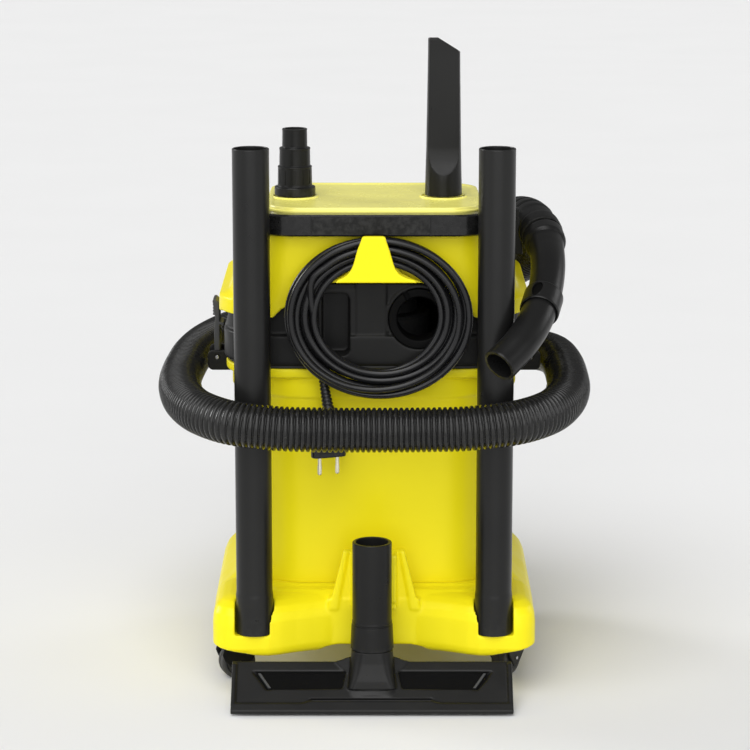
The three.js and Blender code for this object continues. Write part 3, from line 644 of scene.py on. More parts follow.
def coil_turns():
    """The turns before they settle: spirals out in one layer and in again in the next."""
    rng = np.random.default_rng(7)
    waves = rng.normal(0, 1, (3, 12, 2))
    points = []
    steps = int(COIL_TURNS * POINTS_PER_TURN)
    inner, outer = COIL_RADII
    travel = (outer - inner) / COIL_PITCH
    for i in range(steps + 1):
        turn = i / POINTS_PER_TURN
        angle = math.radians(COIL_START) + 2 * math.pi * turn
        phase = turn / travel
        layer = int(phase)
        share = phase - layer
        outward = layer % 2 == 1
        r = inner + (share if outward else 1 - share) * (outer - inner)
        depth = len(COIL_LAYERS) - 1 - min(layer, len(COIL_LAYERS) - 1)
        y = COIL_LAYERS[depth]
        k = int(turn)
        blend = turn - k
        wobble = (1 - blend) * waves[:, k % 12] + blend * waves[:, (k + 1) % 12]
        r += 1.1 * (wobble[0, 0] * math.cos(angle) + wobble[0, 1] * math.sin(angle))
        r += 0.7 * (wobble[1, 0] * math.cos(2 * angle) + wobble[1, 1] * math.sin(2 * angle))
        y += 0.8 * (wobble[2, 0] * math.cos(angle) + wobble[2, 1] * math.sin(angle))
        points.append((COIL_MIDDLE[0] + r * math.cos(angle), y,
                       COIL_MIDDLE[1] + r * COIL_SQUASH * math.sin(angle)))
    return np.array(points)


def settle(line):
    """Pushes turns that lie in each other apart, and keeps the line fair and in its room."""
    count = len(line)
    apart = np.abs(np.arange(count)[:, None] - np.arange(count)[None, :]) > POINTS_PER_TURN // 3
    room = 2 * CORD_R + 0.15
    for _ in range(SETTLE_ROUNDS):
        gap = line[:, None] - line[None, :]
        distance = np.linalg.norm(gap, axis=2)
        near = apart & (distance < room)
        push = np.where(near, (room - distance) / np.maximum(distance, 0.1), 0)
        line = line + 0.22 * (gap * push[:, :, None]).sum(axis=1)
        fair = (4 * (line[1:-3] + line[3:-1]) - line[:-4] - line[4:]) / 6
        line[2:-2] = 0.6 * line[2:-2] + 0.4 * fair
        line[:, 1] = np.clip(line[:, 1], *COIL_ROOM_Y)
        flat = (line[:, [0, 2]] - COIL_MIDDLE) / (1, COIL_SQUASH)
        r = np.linalg.norm(flat, axis=1)
        sag = np.maximum(-flat[:, 1] / r, 0) ** 2
        scale = np.clip(r, COIL_HOLE_R + COIL_SAG * sag, COIL_RADII[1]) / r
        line[:, [0, 2]] = COIL_MIDDLE + flat * scale[:, None] * (1, COIL_SQUASH)
        under = line[:, 1] > HANDLE_BACK_Y
        line[under, 2] = np.minimum(line[under, 2], COIL_TOP_Z)
    return line


def make_cord():
    turns = settle(coil_turns())[5:-4:3]
    route = [*CORD_LEAD, *turns[1:], *CORD_TAIL]
    line = smooth_line(route, 3.0)
    cord = piece("mains_cord", "head", "sheath", [sweep(line, CORD_R, 16)],
                 replaces=("cord_coil", "cord_tail"))
    body, pins = make_plug()
    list(pins)


def make_gland():
    boot = lathe([(0, 352), (3.7, 352), (3.9, 352.6), *boot_ribs(), (4.6, 403.4), (0, 404)], 32)
    flange = to_y(disc(8, -144.2, -138.4, 40, 1.2))
    flange = moved(flange, -70, 0, 396)
    piece("cable_gland_v", "head", "rubber", [flange, moved(boot, -70, -147)],
          bevel=0.2)


def boot_ribs():
    """Strain relief that widens from 3.9 to 4.6 mm towards the head, in rings."""
    profile = []
    for i in range(12):
        z = 353.4 + i * 4.1
        r = 3.95 + 0.055 * i
        profile += [(r, z), (r, z + 2.7), (r - 0.4, z + 3.0), (r - 0.4, z + 3.8)]
    return profile


def make_plug():
    """Moulded two-pin plug with a ribbed sleeve."""
    sections = [(18.2, 6.4, 248.5, 6.2), (18.5, 7, 250, 6.8), (18.5, 7, 263.5, 6.8),
                (17.4, 7.3, 269.5, 7), (15, 7.5, 276.5, 7.2), (11.5, 7.3, 285.5, 7),
                (8.2, 6.9, 293.5, 6.7), (6.6, 6.6, 299.5, 6.5)]
    shell = stack([level(w, d, z, r) for w, d, z, r in sections], 8)
    grips = [block(-30, 30, s * 7.9 - 1.0, s * 7.9 + 1.0, z, z + 1.6)
             for s in (-1, 1) for z in (253.5, 257.5, 261.5)]
    lean = np.array(SLEEVE_TOP, float) - np.array(PLUG_AT, float)
    length = float(np.linalg.norm(lean))
    profile = [(0, -3), (6.2, -3)]
    for i in range(8):
        z = length * i / 8
        r = 6.0 - 1.6 * i / 8
        profile += [(r, z), (r, z + 2.3), (r - 0.9, z + 2.7), (r - 0.9, z + 3.6)]
    profile += [(4.3, length - 0.6), (3.9, length), (0, length)]
    sleeve = moved(aimed(lathe(profile, 28), lean), *PLUG_AT)
    at = dict(x=PLUG_AT[0], y=PLUG_AT[1])
    turn = lambda shape: moved(turned(shape, "Z", PLUG_TURN), **at)
    body = piece("plug", "head", "sheath", [turn(shell), sleeve],
                 cuts=[turn(g) for g in grips], replaces=["plug_body"], bevel=0.25)
    pins = []
    for name, side in SIDES:
        pin = lathe([(0, 229.5), (1.3, 229.5), (2.1, 230.3), (2.4, 231.7), (2.4, 239.5),
                     (2.0, 240.1), (2.0, 248.2), (0, 248.2)], 24)
        pins.append(piece(f"plug_contact_{name}", "head", "contact",
                          [turn(moved(pin, side * 9.5))], replaces=[f"plug_pin_{name}"]))
    return body, pins


# ---------- suction hose ----------
HOSE_R = 22.5
HOSE_PITCH = 5.45
HOSE_DEPTH = 2.8
HOSE_ROUTE = [
    (40.6, 197.2, 289.2), (72, 196, 289.6), (112, 189, 291), (152, 168, 295), (183, 130, 300),
    (198, 84, 304), (204, 30, 305), (205, -30, 304), (203, -85, 302), (193, -140, 301),
    (174, -187, 300), (142, -217, 297.5), (95, -227, 294), (45, -227, 292.5), (-5, -226, 292),
    (-55, -227, 292.5), (-97, -227, 294), (-142, -218, 297.5), (-173, -187, 300),
    (-192, -140, 301), (-202, -85, 302), (-205, -40, 303), (-203, 15, 306), (-197, 70, 309),
    (-183, 122, 312), (-156, 165, 317), (-112, 198, 324), (-58, 214, 332), (-5, 218, 337),
    (45, 217, 344), (92, 207, 357), (133, 185, 376), (170, 153, 399), (181, 117, 423),
    (171, 88, 443.5), (160, 68, 457.5), (157, 53.5, 463.6),
]
# Share of a rib's pitch, and how deep the surface lies there as a share of HOSE_DEPTH.
RIB = [(0.0, 1.0), (0.10, 0.6), (0.20, 0.12), (0.46, 0.0), (0.72, 0.12), (0.84, 0.6)]


def make_hose():
    fine = smooth_line(HOSE_ROUTE, 1.0)
    total = line_length(fine)
    ribs = int(total / HOSE_PITCH)
    shares = [(k + at) / ribs for k in range(ribs) for at, _ in RIB] + [1.0]
    depths = [deep for _ in range(ribs) for _, deep in RIB] + [1.0]
    lengths = np.linspace(0, total, len(fine))
    at = np.array(shares) * total
    line = np.column_stack([np.interp(at, lengths, fine[:, k]) for k in range(3)])
    _, sideways, upward = frames_along(fine)
    index = np.clip(np.round(at / total * (len(fine) - 1)).astype(int), 0, len(fine) - 1)
    angles = np.linspace(0, 2 * math.pi, 36, endpoint=False)
    rings = []
    for point, i, deep in zip(line, index, depths):
        r = HOSE_R - HOSE_DEPTH * deep
        rings.append(point + r * (np.outer(np.cos(angles), sideways[i])
                                  + np.outer(np.sin(angles), upward[i])))
    hose = piece("hose", None, "hose", [loft(rings)],
                 replaces=("suction_hose", "suction_hose_rise"), smooth_angle=180)
    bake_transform(hose)


# ---------- container ----------
CONTAINER_LEVELS = [
    level(132, (-116, 126), 58, 62), level(136, (-121, 131), 66, 66),
    level(139, (-127, 137), 107, 72), level(147.5, (-137, 146), 326, 84),
]
RIM = level(153.5, (-143, 152), 328, 62)
CONTAINER_TOP_Z = 336
BAND_Z = 305                  # the wall steps out here, under the rim
INLET_Z = 288


def level_at(levels, z):
    """The level between its neighbours at that height."""
    for a, b in zip(levels, levels[1:]):
        if z <= b["z"]:
            return between(a, b, (z - a["z"]) / (b["z"] - a["z"]))
    return levels[-1]


def make_container():
    corner, side = 20, 10
    low = CONTAINER_LEVELS[0]
    wall = [inset(low, 6, 58), inset(low, 2.4, 58.7), inset(low, 0.6, 60.4)]
    heights = [62.5, 66, 72, 82, 94, 107, 130, 160, 190, 220, 250, 275, 292, 300]
    wall += [level_at(CONTAINER_LEVELS, z) for z in heights]
    wall += [inset(level_at(CONTAINER_LEVELS, z), -out) for z, out in
             ((BAND_Z - 2.5, 0.1), (BAND_Z - 1.0, 0.6), (BAND_Z, 1.5), (BAND_Z + 1.2, 2.0),
              (BAND_Z + 4, 2.0), (318, 1.4), (324, 1.0))]
    wall += [inset(RIM, by, z) for by, z in (
        (3.5, 326.6), (1.2, 327.0), (0.3, 328.0), (0, 329.5), (0, 334.6), (0.4, 335.6),
        (1.4, CONTAINER_TOP_Z))]
    top = inset(level_at(CONTAINER_LEVELS, 326), WALL)
    wall += [inset(top, 0, CONTAINER_TOP_Z), inset(top, 0, 326)]
    wall += [inset(level_at(CONTAINER_LEVELS, z), WALL) for z in (300, 240, 180, 107, 80)]
    wall += [inset(CONTAINER_LEVELS[1], WALL, 68), inset(CONTAINER_LEVELS[0], 6, 61.5)]
    inlet = moved(to_y(disc(27, 100, 170)), z=INLET_Z)
    piece("container_v", "root", "yellow", [stack(wall, corner, side)], cuts=[inlet],
          smooth_angle=50)


def make_inlet():
    profile = [(22.9, 124), (26.4, 124), (26.4, 147.7), (31, 147.7), (32, 148.6), (32, 150.4),
               (31.2, 151.2), (29.5, 151.4), (28.6, 150.6), (24.6, 150.6), (22.9, 149)]
    piece("inlet_socket_v", "root", "black", [moved(to_y(lathe(profile, 72, True)), z=INLET_Z)])


# ---------- base ----------
BASE_LEVELS = [
    level(160, (-150, 152), 41, 62), level(166, (-156, 158), 44, 66),
    level(170, (-160, 162), 50, 70), level(169, (-159, 161), 66, 68),
    level(167, (-157, 159), 80, 66), level(163, (-152, 157), 89, 63),
    level(158, (-146, 154), 94, 60), level(150, (-139, 148), 101, 60),
    level(145, (-134, 143), 106, 60),
]
CASTERS = [("rear_left", -134, -116, 200), ("rear_right", 134, -116, 60),
           ("front_left", -134, 108, 20), ("front_right", 134, 108, 160)]


LIP_FRONT_Y = -183.6          # the bracket's two lips, which hold the nozzle's tongue
LIP_BACK_Y = -179.2


def flank_ring(z, back):
    """Plan of the part beside the bracket that comes forward to the right-hand tube."""
    front = [(30, -164), (44, -168), (62, -174), (80, -181), (96, -189), (108, -193), (126, -193)]
    points = [(30, -120), *[(x, y + back) for x, y in front], (126, -120)]
    return np.array([(x, y, z) for x, y in points], float)


def make_base():
    rear = stack([
        level(108, (-160, -100), 40.5, 8), level(112, (-165, -100), 43.5, 9),
        level(112.5, (-168, -100), 51, 10), level(111, (-166.5, -100), 75, 11),
        level(108, (-164, -100), 90, 12), level(106, (-157, -100), 98.5, 13),
        level(104, (-148, -100), 104, 14)])
    corners = [stack([
        level((109, 157), (-184, -90), 40.5, 16), level((104, 163), (-190, -90), 46, 20),
        level((101, 166), (-193, -90), 53, 22), level((101, 166), (-192.5, -90), 78, 22),
        level((101.5, 165), (-190.5, -90), 88, 21), level((103, 162), (-186, -90), 95, 20),
        level((106, 156), (-178, -90), 100, 19), level((112, 148), (-168, -90), 102.4, 16)])]
    corners.append(mirrored(corners[0]))
    flank = loft([flank_ring(z, back) for z, back in (
        (44.5, 6), (46, 3), (49, 1), (54, 0), (82, 1), (90, 4), (96, 9), (100.4, 18), (102, 26))])
    corners += [flank, mirrored(flank)]
    gusset = slab([(-47, 60), (47, 60), (45, 90), (29, 150), (-29, 150), (-45, 90)],
                  -166, -158, "Y")
    ribs = pair(slab([(38, 88), (46.5, 88), (31, 151), (26, 151)], -168.5, -158, "Y"))
    lips = pair(block(15, 23, LIP_FRONT_Y, -164, 100, 150))
    hooks = pair(block(8, 23, LIP_FRONT_Y, LIP_BACK_Y, 100, 150))
    shelf = block(-23, 23, LIP_BACK_Y - 2, -160, 92, 100)
    root = block(-47, 47, -167, -135, 60, 99)
    posts = [moved(disc(9, 41, 93), x, y) for _, x, y, _ in CASTERS]
    peg = lathe([(0, 60), (13.5, 60), (13.5, 105), (10.5, 118), (0, 118)])
    pegs = [moved(peg, s * TUBE_X, TUBE_Y) for _, s in SIDES]

    pocket = stack([inset(one, -0.5, one["z"] - GAP) for one in CONTAINER_LEVELS], 16)
    wall = stack([inset(one, -3.5, 54 if i == 0 else one["z"]) for i, one in
                  enumerate(CONTAINER_LEVELS)], 16)
    under = stack([inset(BASE_LEVELS[0], 3.4, 30)] + [inset(one, 3.4, one["z"] - 3.2)
                                                     for one in BASE_LEVELS[:7]], 14)
    rear_under = block(-98, 98, -162, -134, 30, 86)
    arch = slab([(-64, 30), (64, 30), (60, 43), (50, 48), (38, 50.5), (-38, 50.5), (-50, 48),
                 (-60, 43)], -200, -140, "Y")
    ways = [sided(shape, s) for _, s in SIDES for shape in (
        moved(disc(TUBE_R + 1.6, TUBE_BOTTOM_Z - 0.2, 130), TUBE_X, TUBE_Y),
        block(TUBE_X - 11, TUBE_X + 20.1, -215, TUBE_Y, TUBE_BOTTOM_Z - 0.2, 130))]
    bores = [moved(disc(4.4, 30, 58, 32), x, y) for _, x, y, _ in CASTERS]
    ways += pair(slab([(104, 38), (176, 38), (176, 57), (168, 55), (108, 43)], -205, -140, "Y"))

    hollow = make_object("hollow", under)
    combine(hollow, [wall], "DIFFERENCE")
    body = make_object("base_chassis_v", stack(BASE_LEVELS, 14))
    combine(body, [rear, *corners, gusset, *ribs, root, shelf, *lips, *hooks], "UNION")
    combine(body, [hollow, rear_under, arch, *ways], "DIFFERENCE")
    combine(body, [*pegs, *posts], "UNION")
    combine(body, [pocket, *bores], "DIFFERENCE")
    soften(body, 1.4, 5, 0.35)
    dress(body, "root", "yellow")


# ---------- casters ----------
WHEEL_R = 18.5
CASTER_TRAIL = 11


def make_casters():
    for name, x, y, heading in CASTERS:
        def set_down(shape):
            return moved(turned(shape, "Z", heading), x, y)

        cheek = [(-7, 40.2), (-8.5, 31), (-3, 22), (CASTER_TRAIL - 7, WHEEL_R - 5.5),
                 (CASTER_TRAIL, WHEEL_R - 7), (CASTER_TRAIL + 7, WHEEL_R - 5.5), (28, 22),
                 (30.5, 29), (27, 40.2)]
        cheeks = [slab(cheek, 9.9, 12.8, "Y"), slab(cheek, -12.8, -9.9, "Y")]
        crown = stack([level((-9, 29), 12.8, 33, 6), level((-8, 28), 12.6, 38.8, 7),
                       level((-6, 26), 11.4, 40.2, 7)], 6)
        well = moved(to_y(disc(WHEEL_R + 1.6, -9.9, 9.9, 48)), CASTER_TRAIL, 0, WHEEL_R)
        axle_bore = moved(to_y(disc(2.3, -20, 20, 24)), CASTER_TRAIL, 0, WHEEL_R)
        hub = disc(10, 36.5, 40.3, 40, 0.5)
        stem = lathe([(0, 38), (4, 38), (4, 50), (3.4, 50.4), (3.4, 52), (4.1, 52.4), (3.2, 57),
                      (0, 57)], 28)
        piece(f"caster_housing_{name}_v", f"caster_{name}", "black",
              [set_down(s) for s in (crown, hub, stem, *cheeks)],
              cuts=[set_down(s) for s in (well, axle_bore)], voxel=0.7, rounds=3, keep=0.35)
        half = [(2.6, -8.9), (6, -8.9), (6.6, -8.2), (7, -7.4), (12.6, -7.4), (13.2, -8.2),
                (14.2, -9), (16.6, -8.6), (18.0, -7.2), (WHEEL_R, -5.2), (WHEEL_R, -1.2),
                (WHEEL_R - 0.7, -0.8)]
        wheel = to_y(lathe(there_and_back(half), 64, True))
        piece(f"caster_wheel_{name}_v", f"wheel_{name}", "wheel",
              [set_down(moved(wheel, CASTER_TRAIL, 0, WHEEL_R))],
              cuts=[set_down(moved(spoke, CASTER_TRAIL, 0, WHEEL_R)) for spoke in spokes()],
              smooth_angle=30)
        axle = lathe(there_and_back([(0, -13.6), (1.6, -13.6), (2, -13.2)]), 24)
        piece(f"caster_axle_{name}_v", f"wheel_{name}", "steel",
              [set_down(moved(to_y(axle), CASTER_TRAIL, 0, WHEEL_R))])


def spokes():
    """Pockets in both faces of a wheel, so that five spokes are left."""
    pockets = []
    for k in range(5):
        for y0, y1 in ((-9.5, -4.5), (4.5, 9.5)):
            pocket = moved(to_y(lathe([(0, y0), (1.9, y0), (1.9, y1), (0, y1)], 20)), 9.8)
            pockets.append(turned(pocket, "Y", 72 * k))
    return pockets


# ---------- head ----------
HEAD_BOTTOM_Z = 339.4
COVER_SHELF_Z = 475
HOUSING_LOW = level(155.5, (-142.5, 151.5), HEAD_BOTTOM_Z, 58)
COVER_LEVELS = [
    level(157.5, (-139, 153), 372, 58), level(160.4, (-141, 156), 384, 60),
    level(160.8, (-142, 157), 391, 62), level(160.4, (-142.5, 157), 404, 62),
    level(150, (-143, 150), 411, 58), level(138.5, (-144.5, 138), 434, 52),
    level(125.5, (-146, 72), 475, 44),
]
DECK_WALL = level(108, (-137, 31), 475, 34)
PORT = (46, 388)              # middle of the blower port, X and Z
HANDLE_PIVOT = (-5, 487)      # Y and Z
KNOB_AT = (0, 106, 459.5)
KNOB_TILT = -24.5
CREVICE_X, ADAPTER_X, TOOL_Y = 72, -82, -57       # the tools stand here on the deck


def make_housing():
    flush = inset(HOUSING_LOW, 0, 369)
    tucked = inset(COVER_LEVELS[0], 3.4, 371.5)
    top = level(142, (-138.6, 138), 424, 54)
    shell = stack([
        inset(HOUSING_LOW, 1.6), inset(HOUSING_LOW, 0.3, 340.6), inset(HOUSING_LOW, 0, 342.5),
        flush, inset(flush, 0.6, 370.4), tucked, top, inset(top, 3), inset(tucked, 3, 371.5),
        inset(HOUSING_LOW, 3.4, 346)], 16)
    boss = moved(to_y(disc(34, -139.6, -112, 72)), PORT[0], 0, PORT[1])
    niche_boss = block(-58, -20, -139.4, -112, 345.5, 419)
    panel = stack([level((-19.5, 13.5), (-140.4, -112), 352, 3),
                   level((-19.5, 13.5), (-140.4, -112), 425, 3)])
    catches = pair(block(154, 161, -12, 12, 353, 356.6))
    niche_cut = slab(rounded(-53, -25, 350, 414, 7, 0, 8)[:, :2], -150, -117, "Y")
    port_hole = moved(to_y(disc(31.3, -160, -100, 72)), PORT[0], 0, PORT[1])
    suction = disc(18, 330, 360, 48)
    seams = [block(-21, 14, -142, -139.6, z, z + 0.9) for z in (381.5, 384.2)]
    grooves = [sided(block(154.2, 160, -60 + 12 * k, -55 + 12 * k, 349, 364), s)
               for _, s in SIDES for k in (0, 1, 6, 7, 8)]
    piece("head_housing_v", "head", "black", [shell, boss, niche_boss, panel, *catches],
          cuts=[niche_cut, port_hole, suction, *seams, *grooves], voxel=1.2, rounds=4)


def make_port():
    x, z = PORT
    port = lathe([(22.5, -139.2), (23.3, -140.2), (24.4, -140.6), (29.6, -140.8), (30.6, -140.4),
                  (31, -139.6), (31, -108), (25.5, -108), (25.5, -112), (22.5, -112)], 80, True)
    # The port gets the painted-shade black so that it reads as a hole in shadow.
    piece("blower_port_v", "head", "painted_shade_black", [moved(to_y(port), x, 0, z)],
          cuts=[moved(turned(block(-3, 3, -142, -134, 20, 34), "Y", -28), x, 0, z)],
          smooth_angle=40)


def make_seal():
    seal = inset(RIM, 2, 336.3)
    piece("container_seal_v", "root", "rubber", [stack([
        inset(seal, 0.6), inset(seal, 0, 337.0), inset(seal, 0, 338.4), inset(seal, 0.6, 339.1),
        inset(seal, 5.4, 339.1), inset(seal, 6, 338.4), inset(seal, 6, 337.0), inset(seal, 5.4)],
        16, closed=True)])


def make_cover():
    profile = []
    for a, b in zip(COVER_LEVELS, COVER_LEVELS[1:]):
        profile += [between(a, b, t) for t in (0, 0.5)]
    profile.append(COVER_LEVELS[-1])
    outer = stack([*profile, DECK_WALL, inset(DECK_WALL, 0, 496.7)], 16)
    inner = stack([inset(COVER_LEVELS[0], WALL, 360), *[inset(one, WALL) for one in profile[:-1]],
                   inset(COVER_LEVELS[6], WALL, COVER_SHELF_Z - WALL),
                   inset(DECK_WALL, WALL, COVER_SHELF_Z - WALL), inset(DECK_WALL, WALL, 510)], 16)
    right = [(108.5, 378), (101, 391), (88, 403), (74, 413), (60, 421), (46, 427)]
    left = [(-x, z) for x, z in reversed(right)]
    arch = slab([(-114, 355), (114, 355), *right, *left], -170, -100, "Y")
    rise = slab([(-180, 350), (20, 350), (10, 371.6), (-100, 389), (-180, 389)], -180, 180, "X")
    pins = moved(to_x(disc(3.4, -140, 140, 24)), 0, *HANDLE_PIVOT)
    knob_bore = moved(turned(disc(4.4, -40, 40, 32), "X", KNOB_TILT), *KNOB_AT)
    vents = [moved(turned(block(-44, 44, -3, 14, -1.3, 1.3), "X", -8), 0, 148, 396 + 8 * k)
             for k in range(3)]
    piece("head_cover_v", "head", "yellow", [outer],
          cuts=[inner, arch, rise, pins, knob_bore, *vents], voxel=1.3, rounds=5)


def make_deck():
    edge = level(110, (-146, 34), 497, 36)
    rings = [inset(edge, 4), inset(edge, 0.9), inset(edge, 0.2, 497.6), inset(edge, 0, 498.4),
             inset(edge, 0.1, 499.4), inset(edge, 1.0, 500.0), inset(edge, 1.2, 500.6),
             inset(edge, 1.2, 501.6), inset(edge, 1.7, 502.6), inset(edge, 3.2, 503),
             inset(edge, 5.4, 502.9), inset(edge, 7.4, 502.0), inset(edge, 9, 501.8)]
    plate = stack(rings, 18)
    tools = (CREVICE_X, ADAPTER_X)
    grooves = [moved(ring(14, 22.5, 500.2, 510, 72, 0.4), x, TOOL_Y) for x in tools]
    crevice_peg = moved(disc(13, 500, 528, 48, 1.5), CREVICE_X, TOOL_Y)
    adapter_peg = moved(disc(8, 500, 520, 40, 1.2), ADAPTER_X, TOOL_Y)
    rims = [moved(ring(22.5, 24.6, 501, 503, 72, 0.7), x, TOOL_Y) for x in tools]
    piece("storage_deck_v", "head", "deck", [plate, *rims, crevice_peg, adapter_peg], cuts=grooves,
          smooth_angle=32)


def make_cable_hook():
    tab = [(-38, 434.5), (43, 434.5), (41, 437), (32, 439.4), (25.5, 443), (21.5, 448),
           (19.3, 454), (15.6, 467), (11.9, 477.5), *arc(8.6, 477.9, 3.4, 10, 85, 5),
           *arc(-9.2, 477.9, 3.4, 95, 170, 5), (-12.6, 477.5), (-16.7, 467), (-20.2, 454),
           (-22.5, 448), (-26, 443), (-31, 439.4), (-36.5, 437)]
    flare = [(-46, 427.2), (51, 427.2), (38, 432), (27, 438), (22, 446), (-22, 446), (-27, 438),
             (-36, 432)]
    hook = [slab(tab, -193, -186, "Y"), block(-16, 18, -190, -146.2, 434.5, 438.4),
            slab(flare, -151, -146.2, "Y")]
    piece("cable_hook_v", "head", "yellow", hook, voxel=0.9, keep=0.5)


# ---------- carry handle and knob ----------
def bow(half, back, corner):
    """Outline of the handle's U seen from above, from the right pivot round to the left one."""
    bend = arc(half - corner, back + corner, corner, 0, -90, 18)
    right = [(half, HANDLE_PIVOT[0]), *bend]
    return right + [(-x, y) for x, y in reversed(right)]


def make_carry_handle():
    low, high = 476.5, 498.5
    outside, inside = bow(123.5, -164, 40), bow(111.8, -148.2, 34)
    ease = 1.6
    ring_points = lambda z, by: np.array(
        [(x - math.copysign(by, x), y + by, z) for x, y in outside]
        + [(x + math.copysign(by, x), y - by, z) for x, y in reversed(inside)], float)
    band = loft([ring_points(z, by) for z, by in
                 ((low, ease), (low + ease, 0), (high - ease, 0), (high, ease))])
    eyes = pair(moved(to_x(disc(11, -5.85, 5.85, 48, 0.8)), 117.65, *HANDLE_PIVOT))
    bores = moved(to_x(disc(3.4, -140, 140, 24)), 0, *HANDLE_PIVOT)
    side_cuts = pair(block(121.9, 130, -105, -30, 480, 495))
    edge_cuts = [block(x - 0.6, x + 0.6, -166, -163.2, 470, 505) for x in (-63, 57)]
    piece("carry_handle_v", "carry_handle", "gloss", [band, *eyes],
          cuts=[bores, *edge_cuts, *side_cuts], smooth_angle=34)
    ribs = stack([level((-62.4, 56.4), (-164.9, -163.2), 479, 0.7),
                  level((-62.4, 56.4), (-164.9, -163.2), 496, 0.7)], 4)
    piece("handle_grip_pad", "carry_handle", "black", [ribs], replaces=(), smooth_angle=34)
    for name, side in SIDES:
        pin = lathe([(0, 100), (3, 100), (3, 124), (5, 124), (6, 124.6), (6, 125.5), (5.2, 126),
                     (2, 126), (1.6, 125.4), (0, 125.4)], 36)
        piece(f"handle_pin_{name}_v", "head", "grey",
              [moved(sided(to_x(pin), side), 0, *HANDLE_PIVOT)])


def make_knob():
    flange = lathe([(0, -12), (4, -12), (4, 1.2), (22, 1.2), (23, 2.2), (22.6, 4), (21.4, 8.2),
                    (20.2, 9), (17, 9.2), (0, 9.2)], 72)
    bar = stack([level(5.4, 21, 7, 2.4), level(5, 20.6, 12, 3),
                 level(4, 19.8, 15.2, 3), level(2.6, 18, 16, 2.4)], 8)
    notches = [moved(disc(1.3, 1, 12, 12), *spot) for spot in arc(0, 0, 23.2, 0, 345, 23)]
    pointer = block(-0.7, 0.7, 8, 19, 15.2, 17)
    lay = lambda shape: moved(turned(shape, "X", KNOB_TILT), *KNOB_AT)
    piece("power_knob_v", "power_knob", "satin", [lay(flange), lay(bar)],
          cuts=[lay(s) for s in (*notches, pointer)], smooth_angle=36)


# ---------- latches and hooks ----------
LATCH_PIVOT = (167, 323)      # X and Z on the right side


def make_latches():
    x, z = LATCH_PIVOT
    for name, side in SIDES:
        pin_bore = moved(to_y(disc(2.4, -30, 30, 28)), x, 0, z)
        foot = slab([(148, 309), (172, 309), *arc(171, 315, 6, -70, 0, 5), (177, 326),
                     *arc(172, 325, 5, 10, 90, 5), (154.6, 330), (154.6, 325.4), (148, 325.4)],
                    -20, 20, "Y")
        slot = block(159.5, 190, -15, 15, 312, 340)
        piece(f"latch_bracket_{name}_v", "root", "black", [sided(foot, side)],
              cuts=[sided(slot, side), sided(pin_bore, side)], voxel=0.7, rounds=4)

        plate = slab([(164.4, 320.5), (166.5, 319), (169, 319.2), (170, 321), (170.4, 345),
                      (169.2, 366), (170.6, 377), (171.8, 382.5), (170.5, 384.5), (168, 384),
                      (165.4, 381.5), (164.4, 377), (164.4, 360), (159.6, 359), (159.6, 357),
                      (164.4, 357)], -14, 14, "Y")
        eye = moved(to_y(disc(4.6, -14, 14, 36)), x, 0, z)
        window = block(160, 180, -8, 8, 329, 350)
        ridges = [block(169.4, 171.6, -11, 11, h, h + 1.6) for h in (367, 370.4, 373.8, 377.2)]
        piece(f"latch_{name}_v", f"latch_{name}", "grey", [sided(plate, side), sided(eye, side),
              *[sided(r, side) for r in ridges]],
              cuts=[sided(pin_bore, side), sided(window, side)], voxel=0.6, rounds=4)
        pin = lathe(there_and_back([(0, -21), (1.6, -21), (2, -20.6)]), 24)
        piece(f"latch_pin_{name}_v", "root", "steel", [sided(moved(to_y(pin), x, 0, z), side)])

        arm = slab([(145, 222), (151, 222), (186, 238), (208, 256), (226.5, 278),
                    *arc(224.7, 290.4, 1.8, 0, 150, 6), (220, 288.5), (214, 284), (204, 281.4),
                    (190, 282.4), (186, 262), (152, 246), (152, 264), (146.4, 264)], 40, 58, "Y")
        piece(f"hose_hook_{name}_v", "root", "black", [sided(arm, side)],
              voxel=0.8, rounds=4)


# ---------- curved handle ----------
GRIP_ROUTE = [
    (157, 47, 463.4), (158.5, 36, 465.5), (165, 8, 467.5), (173, -28, 463.5), (178, -62, 453.5),
    (179, -95, 441), (176.5, -126, 426), (170, -157, 408.5), (159.5, -188, 392),
    (144.5, -213, 376), (123.5, -234, 359),
]
TUBE_STEP = 1.5


def stretch(line, start, end):
    """The part of a line between two shares of its length."""
    count = len(line) - 1
    return line[int(round(start * count)):int(round(end * count)) + 1]


def pipe_profile(count, stops):
    """Radii for count points, from (share, radius) stops with even slopes between them."""
    shares, radii = zip(*stops)
    return np.interp(np.linspace(0, 1, count), shares, radii)


